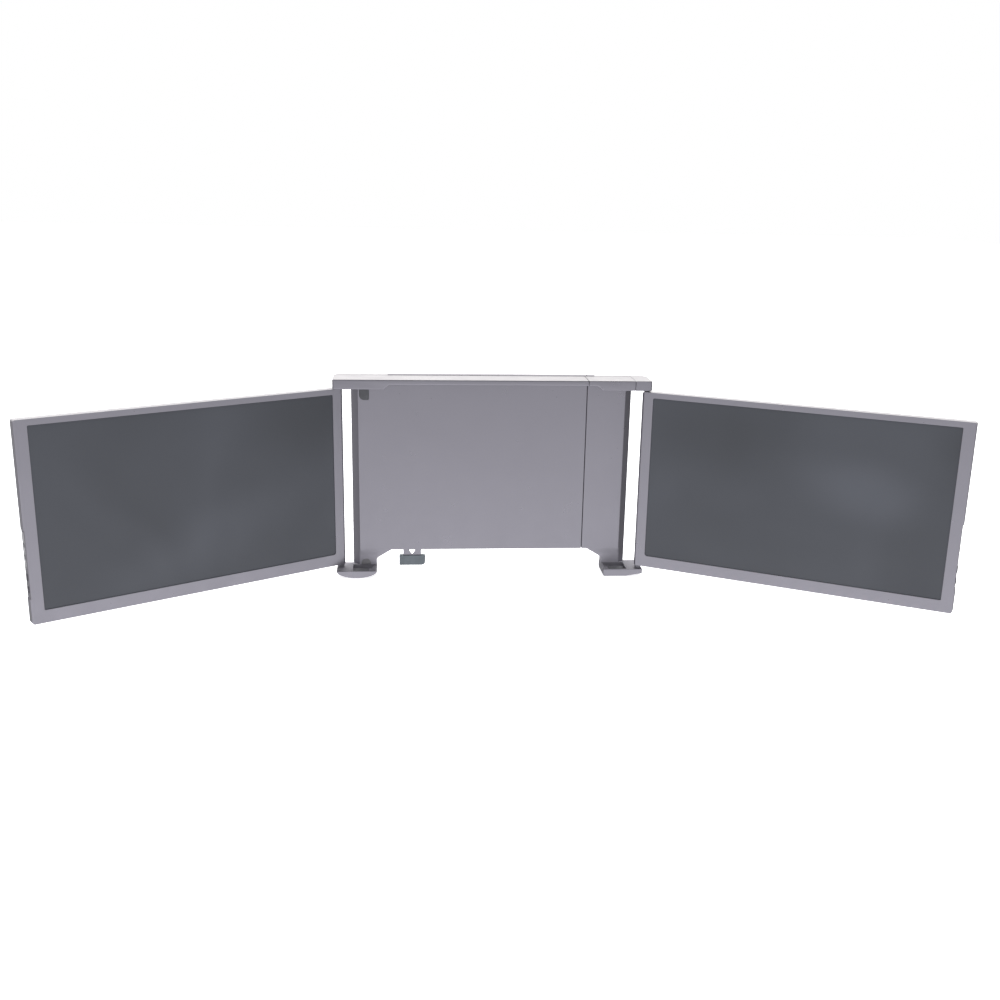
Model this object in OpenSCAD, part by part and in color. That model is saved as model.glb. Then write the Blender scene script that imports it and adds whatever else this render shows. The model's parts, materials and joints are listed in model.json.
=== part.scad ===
// Laptop screen extender: a clamp for a laptop's lid with a display hinged at each side.
// X runs along the clamp, Y from the user to the back, Z up. The origin is the middle of the
// plate's front face. Heights in the modules are measured from the table, and on_table() lowers
// them to that origin.

/* [Clamp body] */
// Height of the origin above the table
origin_height = 118; // [100:0.5:130]
// Half the length of the top bar
bar_half = 167.9; // [166:0.1:172]
// Distance of the plate's fixed side from the middle
plate_half = 150; // [148:0.1:151]
// Height of the plate's lower edge above the table
plate_bottom = 25; // [22:0.5:28]
// Height of the bar's top face above the table
bar_top = 216.3; // [216:0.1:219]
// Reach of the bar in front of the plate
bar_reach = 25; // [24.9:0.1:27]
// Depth of the housing behind the plate's face
housing_depth = 17; // [16.5:0.1:19]
// Distance of a leg's inner edge from the middle
leg_inner = 124.4; // [120:0.1:128]

/* [Carriage] */
// Distance of the carriage's outer side from the middle
carriage_half = 151.7; // [150.5:0.1:152]
// Distance of the plate's seam from the middle
plate_seam = 102.4; // [102:0.1:108]
// Distance of the bar's seam from the middle
bar_seam = 100.1; // [98:0.1:101]
// Distance of the end cap's seam from the middle
cap_seam = 150.2; // [150:0.1:152]

/* [Shoes] */
// Height of a shoe's floor above the table
shoe_top = 8.4; // [8:0.1:9]
// Distance of a shoe's inner end from the middle
shoe_inner = 124.1; // [122:0.1:125]
// Distance of a shoe's outer end from the middle
shoe_outer = 167.6; // [166:0.1:167.9]
// Back end of a shoe behind the plate's face
shoe_back = 8.5; // [8:0.1:10]

/* [Screens] */
// Width of the lit area
display_w = 309.4; // [300:0.1:311]
// Height of the lit area
display_h = 174; // [170:0.1:175]
// Thickness of a screen
screen_depth = 11; // [11:0.1:11.4]
// Border above the lit area
border_top = 5.9; // [5.5:0.1:6.5]
// Border below the lit area
border_bottom = 12.4; // [12:0.1:13]
// Border at the outer side of the lit area
border_outer = 12.1; // [11:0.1:13]
// Distance from the hinge pin to the lit area
border_pin = 9.4; // [9:0.1:11]
// Height of a screen's lower edge above the table
screen_bottom = 12.5; // [12.3:0.1:12.7]
// Distance of a hinge pin from the middle
pin_x = 163; // [162.5:0.1:163.2]
// Distance of the left hinge pin in front of the plate
left_pin_reach = 6.8; // [6.7:0.1:7]
// Distance of the right hinge pin in front of the plate
right_pin_reach = 19.2; // [19.1:0.1:19.4]
// Angle of the left screen towards the user
left_open_angle = 32.7; // [0:0.1:60]
// Angle of the right screen towards the user
right_open_angle = 30.1; // [0:0.1:60]

/* [Stand] */
// Middle of the stand, from the middle of the body
stand_x = -85.5; // [-88:0.1:-80]
// Width of the stand's leg
stand_w = 19.7; // [18:0.1:21]
// Height of the stand's hinge above the table
stand_hinge_z = 144; // [130:1:150]

/* [Hidden] */
$fn = 48;

left = -1;
right = 1;
wall = 2;
cut = 1;

// Housing: the front shell lies before shell_back and the rear cover behind it
shell_back = 8;
cover_front = 8;
cover_inner = housing_depth - wall;
cover_bottom = plate_bottom;
seam_half = 0.45;
shell_top = 212.3;
front_chamfer = 7.5;
front_edge_r = 1;
rear_edge_r = 4;
side_wall = 8.8;
cavity_x0 = side_wall - plate_half;
cavity_x1 = carriage_half - side_wall;
cavity_bottom = plate_bottom + wall;
cavity_top = 209.5;
leg_corner_z = 15.3;
underside_half = 108.4;
rib_half = 111;
rib_foot = 216.5;
rib_top = 217.3;
rib_slope = 4;
rib_r = 0.7;
rib_back = 15;

// Top bar
roof_bottom = 212.3;
bar_back = 8;
lip_depth = 3;
lip_bottom = 210.9;
tab_bottom = 206;
tab_inner = 115.3;
tab_chamfer_end = 108.9;
bar_front_r = 2.5;
bar_rear_r = 10;
bar_seam_half = 0.3;
bar_relief = 0.2;
tongue_x0 = 36;
tongue_land_x0 = 104;

// Hinges
pin_r = 1.6;
pin_clearance = 0.05;
sleeve_r = 2.6;
sleeve_h = 16;
boss_r = 3.4;
boss_top = 12;
washer_r = 3.2;
upper_pin_top = 214;
lower_pin_bottom = 3.5;
pin_reach_in_sleeve = 14;

// Screens
screen_end = 3.5;
screen_end_r = 3.5;
outer_front_r = 1.6;
outer_rear_r = 3;
face_corner_r = 2.6;
screen_len = border_pin + display_w + border_outer;
screen_h = border_bottom + display_h + border_top;
screen_top = screen_bottom + screen_h;
half_depth = screen_depth / 2;
bezel_back = 2.5 - half_depth;
case_wall = 1.8;
case_x0 = 8;
case_x1 = screen_len - case_wall;
case_z0 = screen_bottom + case_wall;
case_z1 = screen_top - case_wall;
case_back = half_depth - case_wall;
lip_thickness = 0.8;
panel_overlap = 1.4;
panel_overlap_top = 1;
panel_front = lip_thickness - half_depth;
panel_thickness = 1.4;
panel_gap = 0.1;
light_back = -0.9;
display_z = screen_bottom + border_bottom;
bay_bottom = screen_bottom + 25;
bay_height = 66;
bay_floor = screen_len - 1;
power_button_z = bay_bottom + 8;
menu_button_z = bay_bottom + 20;
first_usb_z = bay_bottom + 33;
second_usb_z = bay_bottom + 45;
hdmi_z = bay_bottom + 58;
port_y = 0.3;
usb_w = 8.9;
usb_t = 3.2;
hdmi_w = 11.2;
hdmi_t = 3.2;
socket_x0 = 322;
button_w = 7;
button_t = 2.6;
button_proud = 0.6;
button_clearance = 0.15;
shell_screw_x = [30, 165, 300];
shell_screw_z = [18.4, 201.9];
shell_screw_r = 0.8;
shell_screw_head_r = 1.7;
shell_screw_head_h = 1;
board_front = 1.9;
board_back = 3.1;
board_post_x = [266, 300];
board_post_z = [44, 108];

// Slide arms and their rails
arm_front = 6;
arm_thickness = 2.5;
arm_h = 16;
arm_x0 = -56;
arm_x1 = 118;
rail_x0 = -62;
rail_x1 = 34;
rail_wall = 3;
arm_clearance = 0.1;
lower_arm_z = 49;
upper_arm_z = 164;
sleeve_x0 = 38;
sleeve_sheet = 1;
sleeve_gap = 0.3;

// Fasteners
screw_r = 1.25;
screw_head_r = 2.3;
screw_head_h = 1.6;
screw_boss_r = 3.2;
body_screws = [[-140, 36], [-140, 118], [-140, 198], [-20, 36], [-20, 118], [-20, 198]];
slide_screws = [[140, 36], [140, 118], [140, 198], [118, 118]];
shoe_screw_x = [131, 141];
shoe_screw_y = 4;
shoe_screw_top = 17;
shoe_screw_seat = 4.2;

// Stand
stand_pin_y = 14.7;
stand_pin_r = 1;
stand_barrel_r = 2.2;
stand_front = 13.1;
stand_thickness = 3.2;
stand_foot_z = 6;
stand_slot_w = 6;
stand_slot_bottom = 14.8;
stand_slot_top = 118;
stand_pocket_gap = 1.2;
stand_pocket_floor = 12.2;
stand_pocket_top = stand_hinge_z + 4;
stand_shoe_x0 = -99.8;
stand_shoe_x1 = -71;
stand_shoe_z0 = 3.3;
stand_shoe_z1 = 14.6;
stand_shoe_y0 = 11.6;
stand_shoe_y1 = 18;

// Pads
pad_proud = 0.6;
pad_seat = 0.4;
floor_pad_t = 0.7;
floor_pad_x = 141;
floor_pad_half = 8;
tray_floor = 4;
tray_lip = 1.4;
tray_ramp_foot = 131;
tray_ramp_top = 125.9;
shoe_heel_r = 5;
ground_pad_t = 1.2;
ground_pad_proud = 0.4;
lining_t = 1;
roof_strip_gap = 2.2;

body_grey = [0.60, 0.59, 0.63];
dark_grey = [0.30, 0.31, 0.34];
glass_grey = [0.25, 0.27, 0.30];
rubber_black = [0.16, 0.18, 0.19];
steel = [0.72, 0.72, 0.74];
board_green = [0.10, 0.32, 0.20];

// ---- Geometry helpers -------------------------------------------------------------------

function unit(v) = v / norm(v);

// Points of the arc of radius r that rounds corner b of the path a, b, c
function fillet(a, b, c, r, steps = 6) =
    let (
        u = unit(a - b),
        w = unit(c - b),
        half = acos(u * w) / 2,
        centre = b + unit(u + w) * r / sin(half),
        from = b + u * r / tan(half) - centre,
        to = b + w * r / tan(half) - centre,
        start = atan2(from[1], from[0]),
        sweep = atan2(to[1], to[0]) - start,
        turn = sweep > 180 ? sweep - 360 : sweep < -180 ? sweep + 360 : sweep
    )
    [for (i = [0:steps]) centre + r * [cos(start + turn * i / steps), sin(start + turn * i / steps)]];

// The outline through corners [x, y, radius], each rounded by its own radius
function rounded(corners) =
    let (n = len(corners))
    [for (i = [0:n - 1])
        let (
            p = corners[i],
            before = corners[(i + n - 1) % n],
            after = corners[(i + 1) % n],
            here = [p[0], p[1]]
        )
        each p[2] == 0 ? [here] : fillet([before[0], before[1]], here, [after[0], after[1]], p[2])
    ];

module on_table() {
    translate([0, 0, -origin_height]) children();
}

// A box from its lowest to its highest corner
module block(low, high) {
    translate(low) cube(high - low);
}

// An outline in X and Z, made solid from y0 back to y1
module upright(y0, y1) {
    translate([0, y1, 0]) rotate([90, 0, 0]) linear_extrude(height = y1 - y0) children();
}

// An outline in Y and Z, made solid from x0 to x1
module lying(x0, x1) {
    translate([x0, 0, 0]) rotate([90, 0, 90]) linear_extrude(height = x1 - x0) children();
}

// An outline in X and Y, made solid from z0 up to z1
module standing(z0, z1) {
    translate([0, 0, z0]) linear_extrude(height = z1 - z0) children();
}

// A slot outline with round ends, along Z
module pill(w, t) {
    square([w - t, t], center = true);
    for (end = [-1, 1]) translate([end * (w - t) / 2, 0]) circle(d = t);
}

// A rod along Y from y0 back to y1
module rod_y(x, z, r, y0, y1) {
    translate([x, y1, z]) rotate([90, 0, 0]) cylinder(r = r, h = y1 - y0);
}

// What the fixed part keeps of a full-width shape, and what the carriage takes
module fixed_side(seam, gap) {
    intersection() {
        children();
        block([-200, -60, -20], [seam - gap, 60, 240]);
    }
}

module carriage_side(seam, gap) {
    intersection() {
        children();
        block([seam + gap, -60, -20], [200, 60, 240]);
    }
}

// ---- Housing ----------------------------------------------------------------------------

// Front view of the plate with both legs
module plate_outline() {
    polygon(rounded([
        [-plate_half, shoe_top, 0], [-plate_half, shell_top, 0],
        [carriage_half, shell_top, 0], [carriage_half, shoe_top, 0],
        [leg_inner, shoe_top, 0], [leg_inner, leg_corner_z, 4],
        [underside_half, plate_bottom, 6], [-underside_half, plate_bottom, 6],
        [-leg_inner, leg_corner_z, 4], [-leg_inner, shoe_top, 0]
    ]));
}

// Top view of the housing, with its chamfered front edges and rounded back edges
module housing_plan() {
    polygon(rounded([
        [-plate_half, front_chamfer, front_edge_r], [front_chamfer - plate_half, 0, front_edge_r],
        [carriage_half - front_chamfer, 0, front_edge_r],
        [carriage_half, front_chamfer, front_edge_r],
        [carriage_half, housing_depth, rear_edge_r], [-plate_half, housing_depth, rear_edge_r]
    ]));
}

// Top view of the bar over its whole depth
module bar_plan() {
    polygon(rounded([
        [-bar_half, -bar_reach, bar_front_r], [bar_half, -bar_reach, bar_front_r],
        [bar_half, housing_depth, bar_rear_r], [-bar_half, housing_depth, bar_rear_r]
    ]));
}

// Full-width front half of the housing, with bosses for the screws given
module front_half(screws) {
    difference() {
        intersection() {
            upright(0, shell_back) plate_outline();
            standing(0, bar_top) housing_plan();
        }
        difference() {
            block([cavity_x0, wall, cavity_bottom], [cavity_x1, shell_back + cut, cavity_top]);
            for (s = screws) rod_y(s[0], s[1], screw_boss_r, 0, shell_back);
        }
        for (s = screws) rod_y(s[0], s[1], screw_r, 3.5, shell_back + cut);
        for (side = [left, right], x = shoe_screw_x)
            translate([side * x, shoe_screw_y, 0]) cylinder(r = screw_r, h = shoe_screw_top + 0.5);
        upright(-cut, pad_seat) {
            upper_pad_outline();
            lower_pad_outline();
        }
    }
}

// Full-width rear half of the housing, which ends above the legs, with the band that closes the
// bar's back and the low rib on it
module rear_half(screws, band_end) {
    difference() {
        union() {
            intersection() {
                block([-plate_half, cover_front, cover_bottom],
                      [carriage_half, housing_depth, shell_top]);
                standing(0, bar_top) housing_plan();
            }
            intersection() {
                block([-bar_half, cover_front, tab_bottom], [band_end, housing_depth, bar_top]);
                standing(0, bar_top) bar_plan();
            }
            lying(-rib_half, rib_half) polygon(rounded([
                [cover_front, bar_top - cut, 0], [cover_front, rib_foot, 0],
                [cover_front + rib_slope, rib_top, rib_slope], [rib_back, rib_top, rib_r],
                [rib_back, bar_top - cut, 0]
            ]));
        }
        difference() {
            block([cavity_x0, cover_front - cut, cavity_bottom],
                  [cavity_x1, cover_inner, cavity_top]);
            for (s = screws) rod_y(s[0], s[1], screw_boss_r, cover_front, cover_inner + cut);
        }
        for (s = screws) {
            rod_y(s[0], s[1], screw_r + pin_clearance, cover_front - cut, housing_depth);
            rod_y(s[0], s[1], screw_head_r + 0.2, housing_depth - screw_head_h - 0.2,
                  housing_depth + cut);
        }
    }
}

module front_shell() {
    color(body_grey) on_table() fixed_side(plate_seam, seam_half) front_half(body_screws);
}

module carriage_shell() {
    color(body_grey) on_table() union() {
        carriage_side(plate_seam, seam_half) front_half(slide_screws);
        for (z = [lower_arm_z, upper_arm_z])
            block([plate_seam + 3, wall - 0.5, z], [arm_x1, arm_front, z + arm_h]);
    }
}

// The recess in the back for the stand, with the wall round it
module stand_pocket(grow, floor_y) {
    half = stand_w / 2 + stand_pocket_gap + grow;
    block([stand_x - half, floor_y, plate_bottom - cut],
          [stand_x + half, housing_depth + (grow > 0 ? 0 : cut), stand_pocket_top + grow]);
}

module rear_cover() {
    color(body_grey) on_table() difference() {
        union() {
            fixed_side(plate_seam, seam_half) rear_half(body_screws, plate_half);
            intersection() {
                stand_pocket(wall, stand_pocket_floor - 1.2);
                block([-200, 0, plate_bottom], [0, cover_inner + cut, 200]);
            }
        }
        stand_pocket(0, stand_pocket_floor);
        translate([stand_x, stand_pin_y, stand_hinge_z]) rotate([0, 90, 0])
            cylinder(r = stand_pin_r, h = stand_w + 2 * stand_pocket_gap + 3, center = true);
    }
}

module carriage_cover() {
    color(body_grey) on_table()
        carriage_side(plate_seam, seam_half) rear_half(slide_screws, cap_seam);
}

// ---- Top bar ----------------------------------------------------------------------------

// Front view of the lip with its two deep tabs
module lip_outline() {
    polygon([
        [-bar_half, tab_bottom], [-bar_half, bar_top], [bar_half, bar_top], [bar_half, tab_bottom],
        [tab_inner, tab_bottom], [tab_chamfer_end, lip_bottom],
        [-tab_chamfer_end, lip_bottom], [-tab_inner, tab_bottom]
    ]);
}

// Full-length bar: roof, lip and the left end block, which holds a hinge pin
module whole_bar() {
    intersection() {
        union() {
            block([-bar_half, -bar_reach, roof_bottom], [bar_half, bar_back, bar_top]);
            upright(-bar_reach, lip_depth - bar_reach) lip_outline();
            block([-bar_half, -bar_reach, tab_bottom], [-plate_half, bar_back, bar_top]);
        }
        standing(0, bar_top + cut) bar_plan();
    }
}

module top_bar() {
    color(body_grey) on_table() difference() {
        fixed_side(bar_seam, bar_seam_half) whole_bar();
        translate([-pin_x, -left_pin_reach, tab_bottom - cut])
            cylinder(r = pin_r, h = upper_pin_top - tab_bottom + cut);
    }
}

// The carriage's length of the bar, relieved where it passes the fixed housing
module carriage_bar() {
    relief_x1 = plate_seam + seam_half + bar_relief;
    color(body_grey) on_table() difference() {
        intersection() {
            whole_bar();
            block([bar_seam + bar_seam_half, -60, 0], [cap_seam, 60, 240]);
        }
        block([0, -bar_relief, 0], [relief_x1, housing_depth, roof_bottom + bar_relief]);
        block([0, bar_back - bar_relief, 0], [relief_x1, housing_depth, bar_top + cut]);
    }
}

// The carriage's end of the bar, notched where it sits on the corner of the carriage
module bar_end_cap() {
    color(body_grey) on_table() difference() {
        intersection() {
            block([cap_seam, -bar_reach, tab_bottom], [bar_half, housing_depth, bar_top]);
            standing(0, bar_top) bar_plan();
        }
        block([0, 0, 0], [carriage_half, housing_depth + cut, shell_top]);
        translate([pin_x, -right_pin_reach, tab_bottom - cut])
            cylinder(r = pin_r, h = upper_pin_top - tab_bottom + cut);
    }
}

// Strip under the roof that keeps the bar closed while the carriage is out. It is fixed to the
// carriage's roof and clears the fixed one.
module bar_tongue() {
    y0 = -bar_reach + lip_depth + 0.3;
    color(steel) on_table() union() {
        block([tongue_x0, y0, roof_bottom - 1.2], [cap_seam - 2, -roof_strip_gap, roof_bottom - 0.1]);
        block([tongue_land_x0, y0, roof_bottom - 1], [cap_seam - 2, -roof_strip_gap, roof_bottom]);
    }
}

module bar_lining() {
    color(rubber_black) on_table()
        block([-105, -bar_reach + lip_depth + 1, roof_bottom - lining_t],
              [tongue_x0 - 2, -roof_strip_gap, roof_bottom]);
}

// ---- Shoes ------------------------------------------------------------------------------

// Boat-shaped front view of the left shoe
module left_shoe_outline() {
    mid = -(shoe_inner + shoe_outer) / 2;
    half = (shoe_outer - shoe_inner) / 2;
    drop = shoe_top - ground_pad_proud;
    polygon([for (i = [0:24]) [mid + half * cos(180 + 7.5 * i), shoe_top + drop * sin(180 + 7.5 * i)]]);
}

// Flat-bottomed front view of the right shoe
module right_shoe_outline() {
    polygon(rounded([
        [shoe_inner, shoe_top, 0], [shoe_inner, ground_pad_proud, 1.8],
        [150, ground_pad_proud, 12], [shoe_outer, 3.2, 1.2], [shoe_outer, shoe_top, 0]
    ]));
}

// Side view of a shoe, whose sole turns up at the back
module shoe_side() {
    polygon(rounded([
        [-bar_reach, 0, 0], [shoe_back, 0, shoe_heel_r], [shoe_back, shoe_top, 0],
        [-bar_reach, shoe_top, 0]
    ]));
}

// The tray in a shoe before the leg, whose floor turns up at the inner end
module tray(side) {
    upright(-bar_reach + tray_lip, 0) polygon(rounded([
        [side * plate_half, tray_floor, 0], [side * tray_ramp_foot, tray_floor, 2],
        [side * tray_ramp_top, shoe_top, 0], [side * tray_ramp_top, shoe_top + cut, 0],
        [side * plate_half, shoe_top + cut, 0]
    ]));
}

module shoe(side, pin_reach) {
    difference() {
        union() {
            intersection() {
                upright(-bar_reach, shoe_back) children();
                lying(-200, 200) shoe_side();
            }
            translate([side * pin_x, -pin_reach, shoe_top - cut])
                cylinder(r = boss_r, h = boss_top - shoe_top + cut);
        }
        translate([side * pin_x, -pin_reach, lower_pin_bottom])
            cylinder(r = pin_r, h = boss_top);
        for (x = shoe_screw_x) translate([side * x, shoe_screw_y, -cut]) {
            cylinder(r = screw_r + pin_clearance, h = shoe_top + 2 * cut);
            cylinder(r = screw_head_r + 0.2, h = shoe_screw_seat + cut);
        }
        ground_pad(side);
        tray(side);
    }
}

// Rubber pad let into the sole of a shoe
module ground_pad(side) {
    block([side * 146 - 4.5, -21, 0], [side * 146 + 4.5, -3, ground_pad_t]);
}

module left_foot() {
    color(body_grey) on_table() shoe(left, left_pin_reach) left_shoe_outline();
}

module right_foot() {
    color(body_grey) on_table() shoe(right, right_pin_reach) right_shoe_outline();
}

module left_foot_pad() {
    color(rubber_black) on_table() ground_pad(left);
}

module right_foot_pad() {
    color(rubber_black) on_table() ground_pad(right);
}

// Thin rubber mat on the floor of a shoe's tray
module floor_pad(side) {
    upright(-22.6, -2.1) translate([side * floor_pad_x, tray_floor]) polygon(rounded([
        [-floor_pad_half, 0, 0], [floor_pad_half, 0, 0],
        [floor_pad_half, floor_pad_t, 0.3], [-floor_pad_half, floor_pad_t, 0.3]
    ]));
}

module left_floor_pad() {
    color(rubber_black) on_table() floor_pad(left);
}

module right_floor_pad() {
    color(rubber_black) on_table() floor_pad(right);
}

// The two lid pads, let into the plate's face
module upper_pad_outline() {
    polygon(rounded([
        [-141, 190.9, 5], [-130.8, 190.9, 1.6], [-130.8, 205, 0], [-141, 205, 0]
    ]));
}

module lower_pad_outline() {
    polygon(rounded([
        [-141.2, shoe_top + 0.3, 0], [-131, shoe_top + 0.3, 0], [-131, 14.8, 4.9],
        [-141.2, 14.8, 4.9]
    ]));
}

module upper_lid_pad() {
    color(rubber_black) on_table() upright(-pad_proud, pad_seat) upper_pad_outline();
}

module lower_lid_pad() {
    color(dark_grey) on_table() upright(-pad_proud, pad_seat) lower_pad_outline();
}

// ---- Slide ------------------------------------------------------------------------------

module guide_rail(z) {
    slot_front = arm_front - arm_clearance;
    slot_back = arm_front + arm_thickness + arm_clearance;
    difference() {
        block([rail_x0, wall, z - rail_wall],
              [rail_x1, slot_back + rail_wall, z + arm_h + rail_wall]);
        block([rail_x0 - cut, slot_front, z - arm_clearance],
              [rail_x1 + cut, slot_back, z + arm_h + arm_clearance]);
        block([rail_x0 - cut, slot_front, z + rail_wall],
              [rail_x1 + cut, slot_back + rail_wall + cut, z + arm_h - rail_wall]);
    }
}

module slide_arm(z) {
    block([arm_x0, arm_front, z], [arm_x1, arm_front + arm_thickness, z + arm_h]);
}

module upper_guide_rail() {
    color(steel) on_table() guide_rail(upper_arm_z);
}

module lower_guide_rail() {
    color(steel) on_table() guide_rail(lower_arm_z);
}

module upper_slide_arm() {
    color(steel) on_table() slide_arm(upper_arm_z);
}

module lower_slide_arm() {
    color(steel) on_table() slide_arm(lower_arm_z);
}

// Flat tube inside the housing that fills the gap while the carriage is out
module carriage_sleeve() {
    low = [sleeve_x0, wall + sleeve_gap, cavity_bottom + sleeve_gap];
    high = [plate_seam + 3, cover_inner - sleeve_gap, cavity_top - sleeve_gap];
    color(dark_grey) on_table() difference() {
        block(low, high);
        block(low + [-cut, sleeve_sheet, sleeve_sheet], high + [cut, -sleeve_sheet, -sleeve_sheet]);
    }
}

// ---- Hinges of the screens --------------------------------------------------------------

module upper_pin(side, reach) {
    translate([side * pin_x, -reach, screen_top - pin_reach_in_sleeve])
        cylinder(r = pin_r, h = upper_pin_top - screen_top + pin_reach_in_sleeve);
}

module lower_pin(side, reach) {
    translate([side * pin_x, -reach, lower_pin_bottom])
        cylinder(r = pin_r, h = screen_bottom + pin_reach_in_sleeve - lower_pin_bottom);
}

module washers(side, reach) {
    for (z = [[boss_top, screen_bottom - 0.1], [screen_top + 0.1, tab_bottom]])
        translate([side * pin_x, -reach, z[0]]) difference() {
            cylinder(r = washer_r, h = z[1] - z[0]);
            translate([0, 0, -cut]) cylinder(r = pin_r, h = z[1] - z[0] + 2 * cut);
        }
}

module left_upper_hinge_pin() {
    color(steel) on_table() upper_pin(left, left_pin_reach);
}

module left_lower_hinge_pin() {
    color(steel) on_table() lower_pin(left, left_pin_reach);
}

module left_hinge_washers() {
    color(dark_grey) on_table() washers(left, left_pin_reach);
}

module right_upper_hinge_pin() {
    color(steel) on_table() upper_pin(right, right_pin_reach);
}

module right_lower_hinge_pin() {
    color(steel) on_table() lower_pin(right, right_pin_reach);
}

module right_hinge_washers() {
    color(dark_grey) on_table() washers(right, right_pin_reach);
}

// ---- Screens, drawn with the hinge pin at X = 0 and the outer end towards +X -------------

// Puts a screen's piece on its hinge, turned towards the user
module on_hinge(side) {
    reach = side == left ? left_pin_reach : right_pin_reach;
    turn = side == left ? left_open_angle : -right_open_angle;
    on_table() translate([side * pin_x, -reach, 0]) rotate([0, 0, turn]) {
        if (side == left) mirror([1, 0, 0]) children();
        else children();
    }
}

// Top view of a closed screen
module screen_plan() {
    polygon(rounded([
        [-screen_end, -half_depth, screen_end_r], [screen_len, -half_depth, outer_front_r],
        [screen_len, half_depth, outer_rear_r], [-screen_end, half_depth, screen_end_r]
    ]));
}

// Front view of a closed screen
module screen_face() {
    polygon(rounded([
        [-screen_end, screen_bottom, face_corner_r], [screen_len, screen_bottom, face_corner_r],
        [screen_len, screen_top, face_corner_r], [-screen_end, screen_top, face_corner_r]
    ]));
}

// The closed screen between two depths, without the shallow bay in its outer edge
module screen_body(y0, y1) {
    difference() {
        intersection() {
            standing(screen_bottom, screen_top) screen_plan();
            upright(y0, y1) screen_face();
        }
        block([bay_floor, -screen_depth, bay_bottom],
              [screen_len + cut, screen_depth, bay_bottom + bay_height]);
    }
}

module bezel(side) {
    color(body_grey) on_hinge(side) difference() {
        screen_body(-half_depth, bezel_back);
        upright(-half_depth - cut, bezel_back + cut) polygon(rounded([
            [border_pin, display_z, 3], [border_pin + display_w, display_z, 1],
            [border_pin + display_w, display_z + display_h, 1], [border_pin, display_z + display_h, 1]
        ]));
        block([border_pin - panel_overlap - panel_gap, panel_front,
               display_z - panel_overlap - panel_gap],
              [border_pin + display_w + panel_overlap + panel_gap, bezel_back + cut,
               display_z + display_h + panel_overlap_top + panel_gap]);
        for (x = shell_screw_x, z = shell_screw_z)
            rod_y(x, z, shell_screw_r, bezel_back - 1.6, bezel_back + cut);
    }
}

module display_panel(side) {
    color(glass_grey) on_hinge(side)
        block([border_pin - panel_overlap, panel_front, display_z - panel_overlap],
              [border_pin + display_w + panel_overlap, panel_front + panel_thickness,
               display_z + display_h + panel_overlap_top]);
}

module backlight(side) {
    color(steel) on_hinge(side)
        block([border_pin - 0.9, panel_front + panel_thickness, display_z - 0.9],
              [border_pin + display_w + 0.9, light_back, display_z + display_h + 0.5]);
}

// Openings in a screen's outer edge for the ports and the buttons
module bay_cuts() {
    module cut_at(z, y) {
        translate([case_x1 - cut, y, z]) rotate([0, -90, 180])
            linear_extrude(height = case_wall + 3 * cut) children();
    }
    for (z = [first_usb_z, second_usb_z]) cut_at(z, port_y) pill(usb_w + 0.2, usb_t + 0.2);
    cut_at(hdmi_z, port_y) square([hdmi_w + 0.2, hdmi_t + 0.2], center = true);
    for (z = [power_button_z, menu_button_z])
        cut_at(z, port_y) pill(button_w + 2 * button_clearance, button_t + 2 * button_clearance);
}

module rear_shell(side) {
    hinge_x1 = 7;
    color(body_grey) on_hinge(side) difference() {
        screen_body(bezel_back, half_depth);
        difference() {
            block([case_x0, bezel_back - cut, case_z0], [case_x1, case_back, case_z1]);
            for (x = shell_screw_x, z = shell_screw_z)
                rod_y(x, z, shell_screw_head_r + 0.7, bezel_back, half_depth);
            for (x = board_post_x, z = board_post_z) rod_y(x, z, 2, board_back, half_depth);
        }
        block([-1.4, bezel_back - cut, screen_bottom + sleeve_h + 4],
              [hinge_x1, case_back - 1, screen_top - sleeve_h - 4]);
        for (z = [screen_bottom - cut, screen_top - sleeve_h])
            translate([0, 0, z]) cylinder(r = sleeve_r, h = sleeve_h + cut);
        for (x = shell_screw_x, z = shell_screw_z) {
            rod_y(x, z, shell_screw_r + pin_clearance, bezel_back - cut, half_depth + cut);
            rod_y(x, z, shell_screw_head_r + 0.1, half_depth - shell_screw_head_h - 0.1,
                  half_depth + cut);
        }
        bay_cuts();
    }
}

// Control board along the outer edge, with the two switches behind the buttons
module driver_board(side) {
    color(board_green) on_hinge(side) union() {
        block([262, board_front, 40], [case_x1 - 1.8, board_back, 112]);
        block([275, 0.2, 60], [287, board_front, 72]);
        block([276, 0.6, 90], [284, board_front, 98]);
        for (z = [power_button_z, menu_button_z])
            block([320.5, -0.9, z - 2], [326.1, board_front, z + 2]);
    }
}

// The metal shell of a port, with the tongue inside it
module port_socket(z, w, t) {
    shell_t = 0.3;
    length = case_x1 + 0.9 - socket_x0;
    translate([socket_x0 + length, port_y, z]) rotate([0, -90, 0]) difference() {
        linear_extrude(height = length) children();
        translate([0, 0, -cut]) linear_extrude(height = length - 1.4 + cut) difference() {
            square([w - 2 * shell_t - 0.3, t - 2 * shell_t], center = true);
            square([w - 2.4, 0.7], center = true);
        }
    }
}

module port_sockets(side) {
    color(steel) on_hinge(side) {
        for (z = [first_usb_z, second_usb_z]) port_socket(z, usb_w - 1, usb_t) pill(usb_w, usb_t);
        port_socket(hdmi_z, hdmi_w, hdmi_t) square([hdmi_w, hdmi_t], center = true);
    }
}

module hinge_sleeves(side) {
    color(steel) on_hinge(side)
        for (z = [screen_bottom, screen_top - sleeve_h]) translate([0, 0, z]) difference() {
            cylinder(r = sleeve_r, h = sleeve_h);
            translate([0, 0, -cut]) cylinder(r = pin_r + pin_clearance, h = sleeve_h + 2 * cut);
        }
}

module shell_screws(side) {
    color(steel) on_hinge(side)
        for (x = shell_screw_x, z = shell_screw_z) difference() {
            union() {
                rod_y(x, z, shell_screw_r, bezel_back - 1.5, half_depth - 0.3);
                rod_y(x, z, shell_screw_head_r, half_depth - shell_screw_head_h, half_depth - 0.1);
            }
            for (turn = [0, 90]) translate([x, half_depth, z]) rotate([0, turn, 0])
                cube([2, 1, 0.5], center = true);
        }
}

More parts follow.
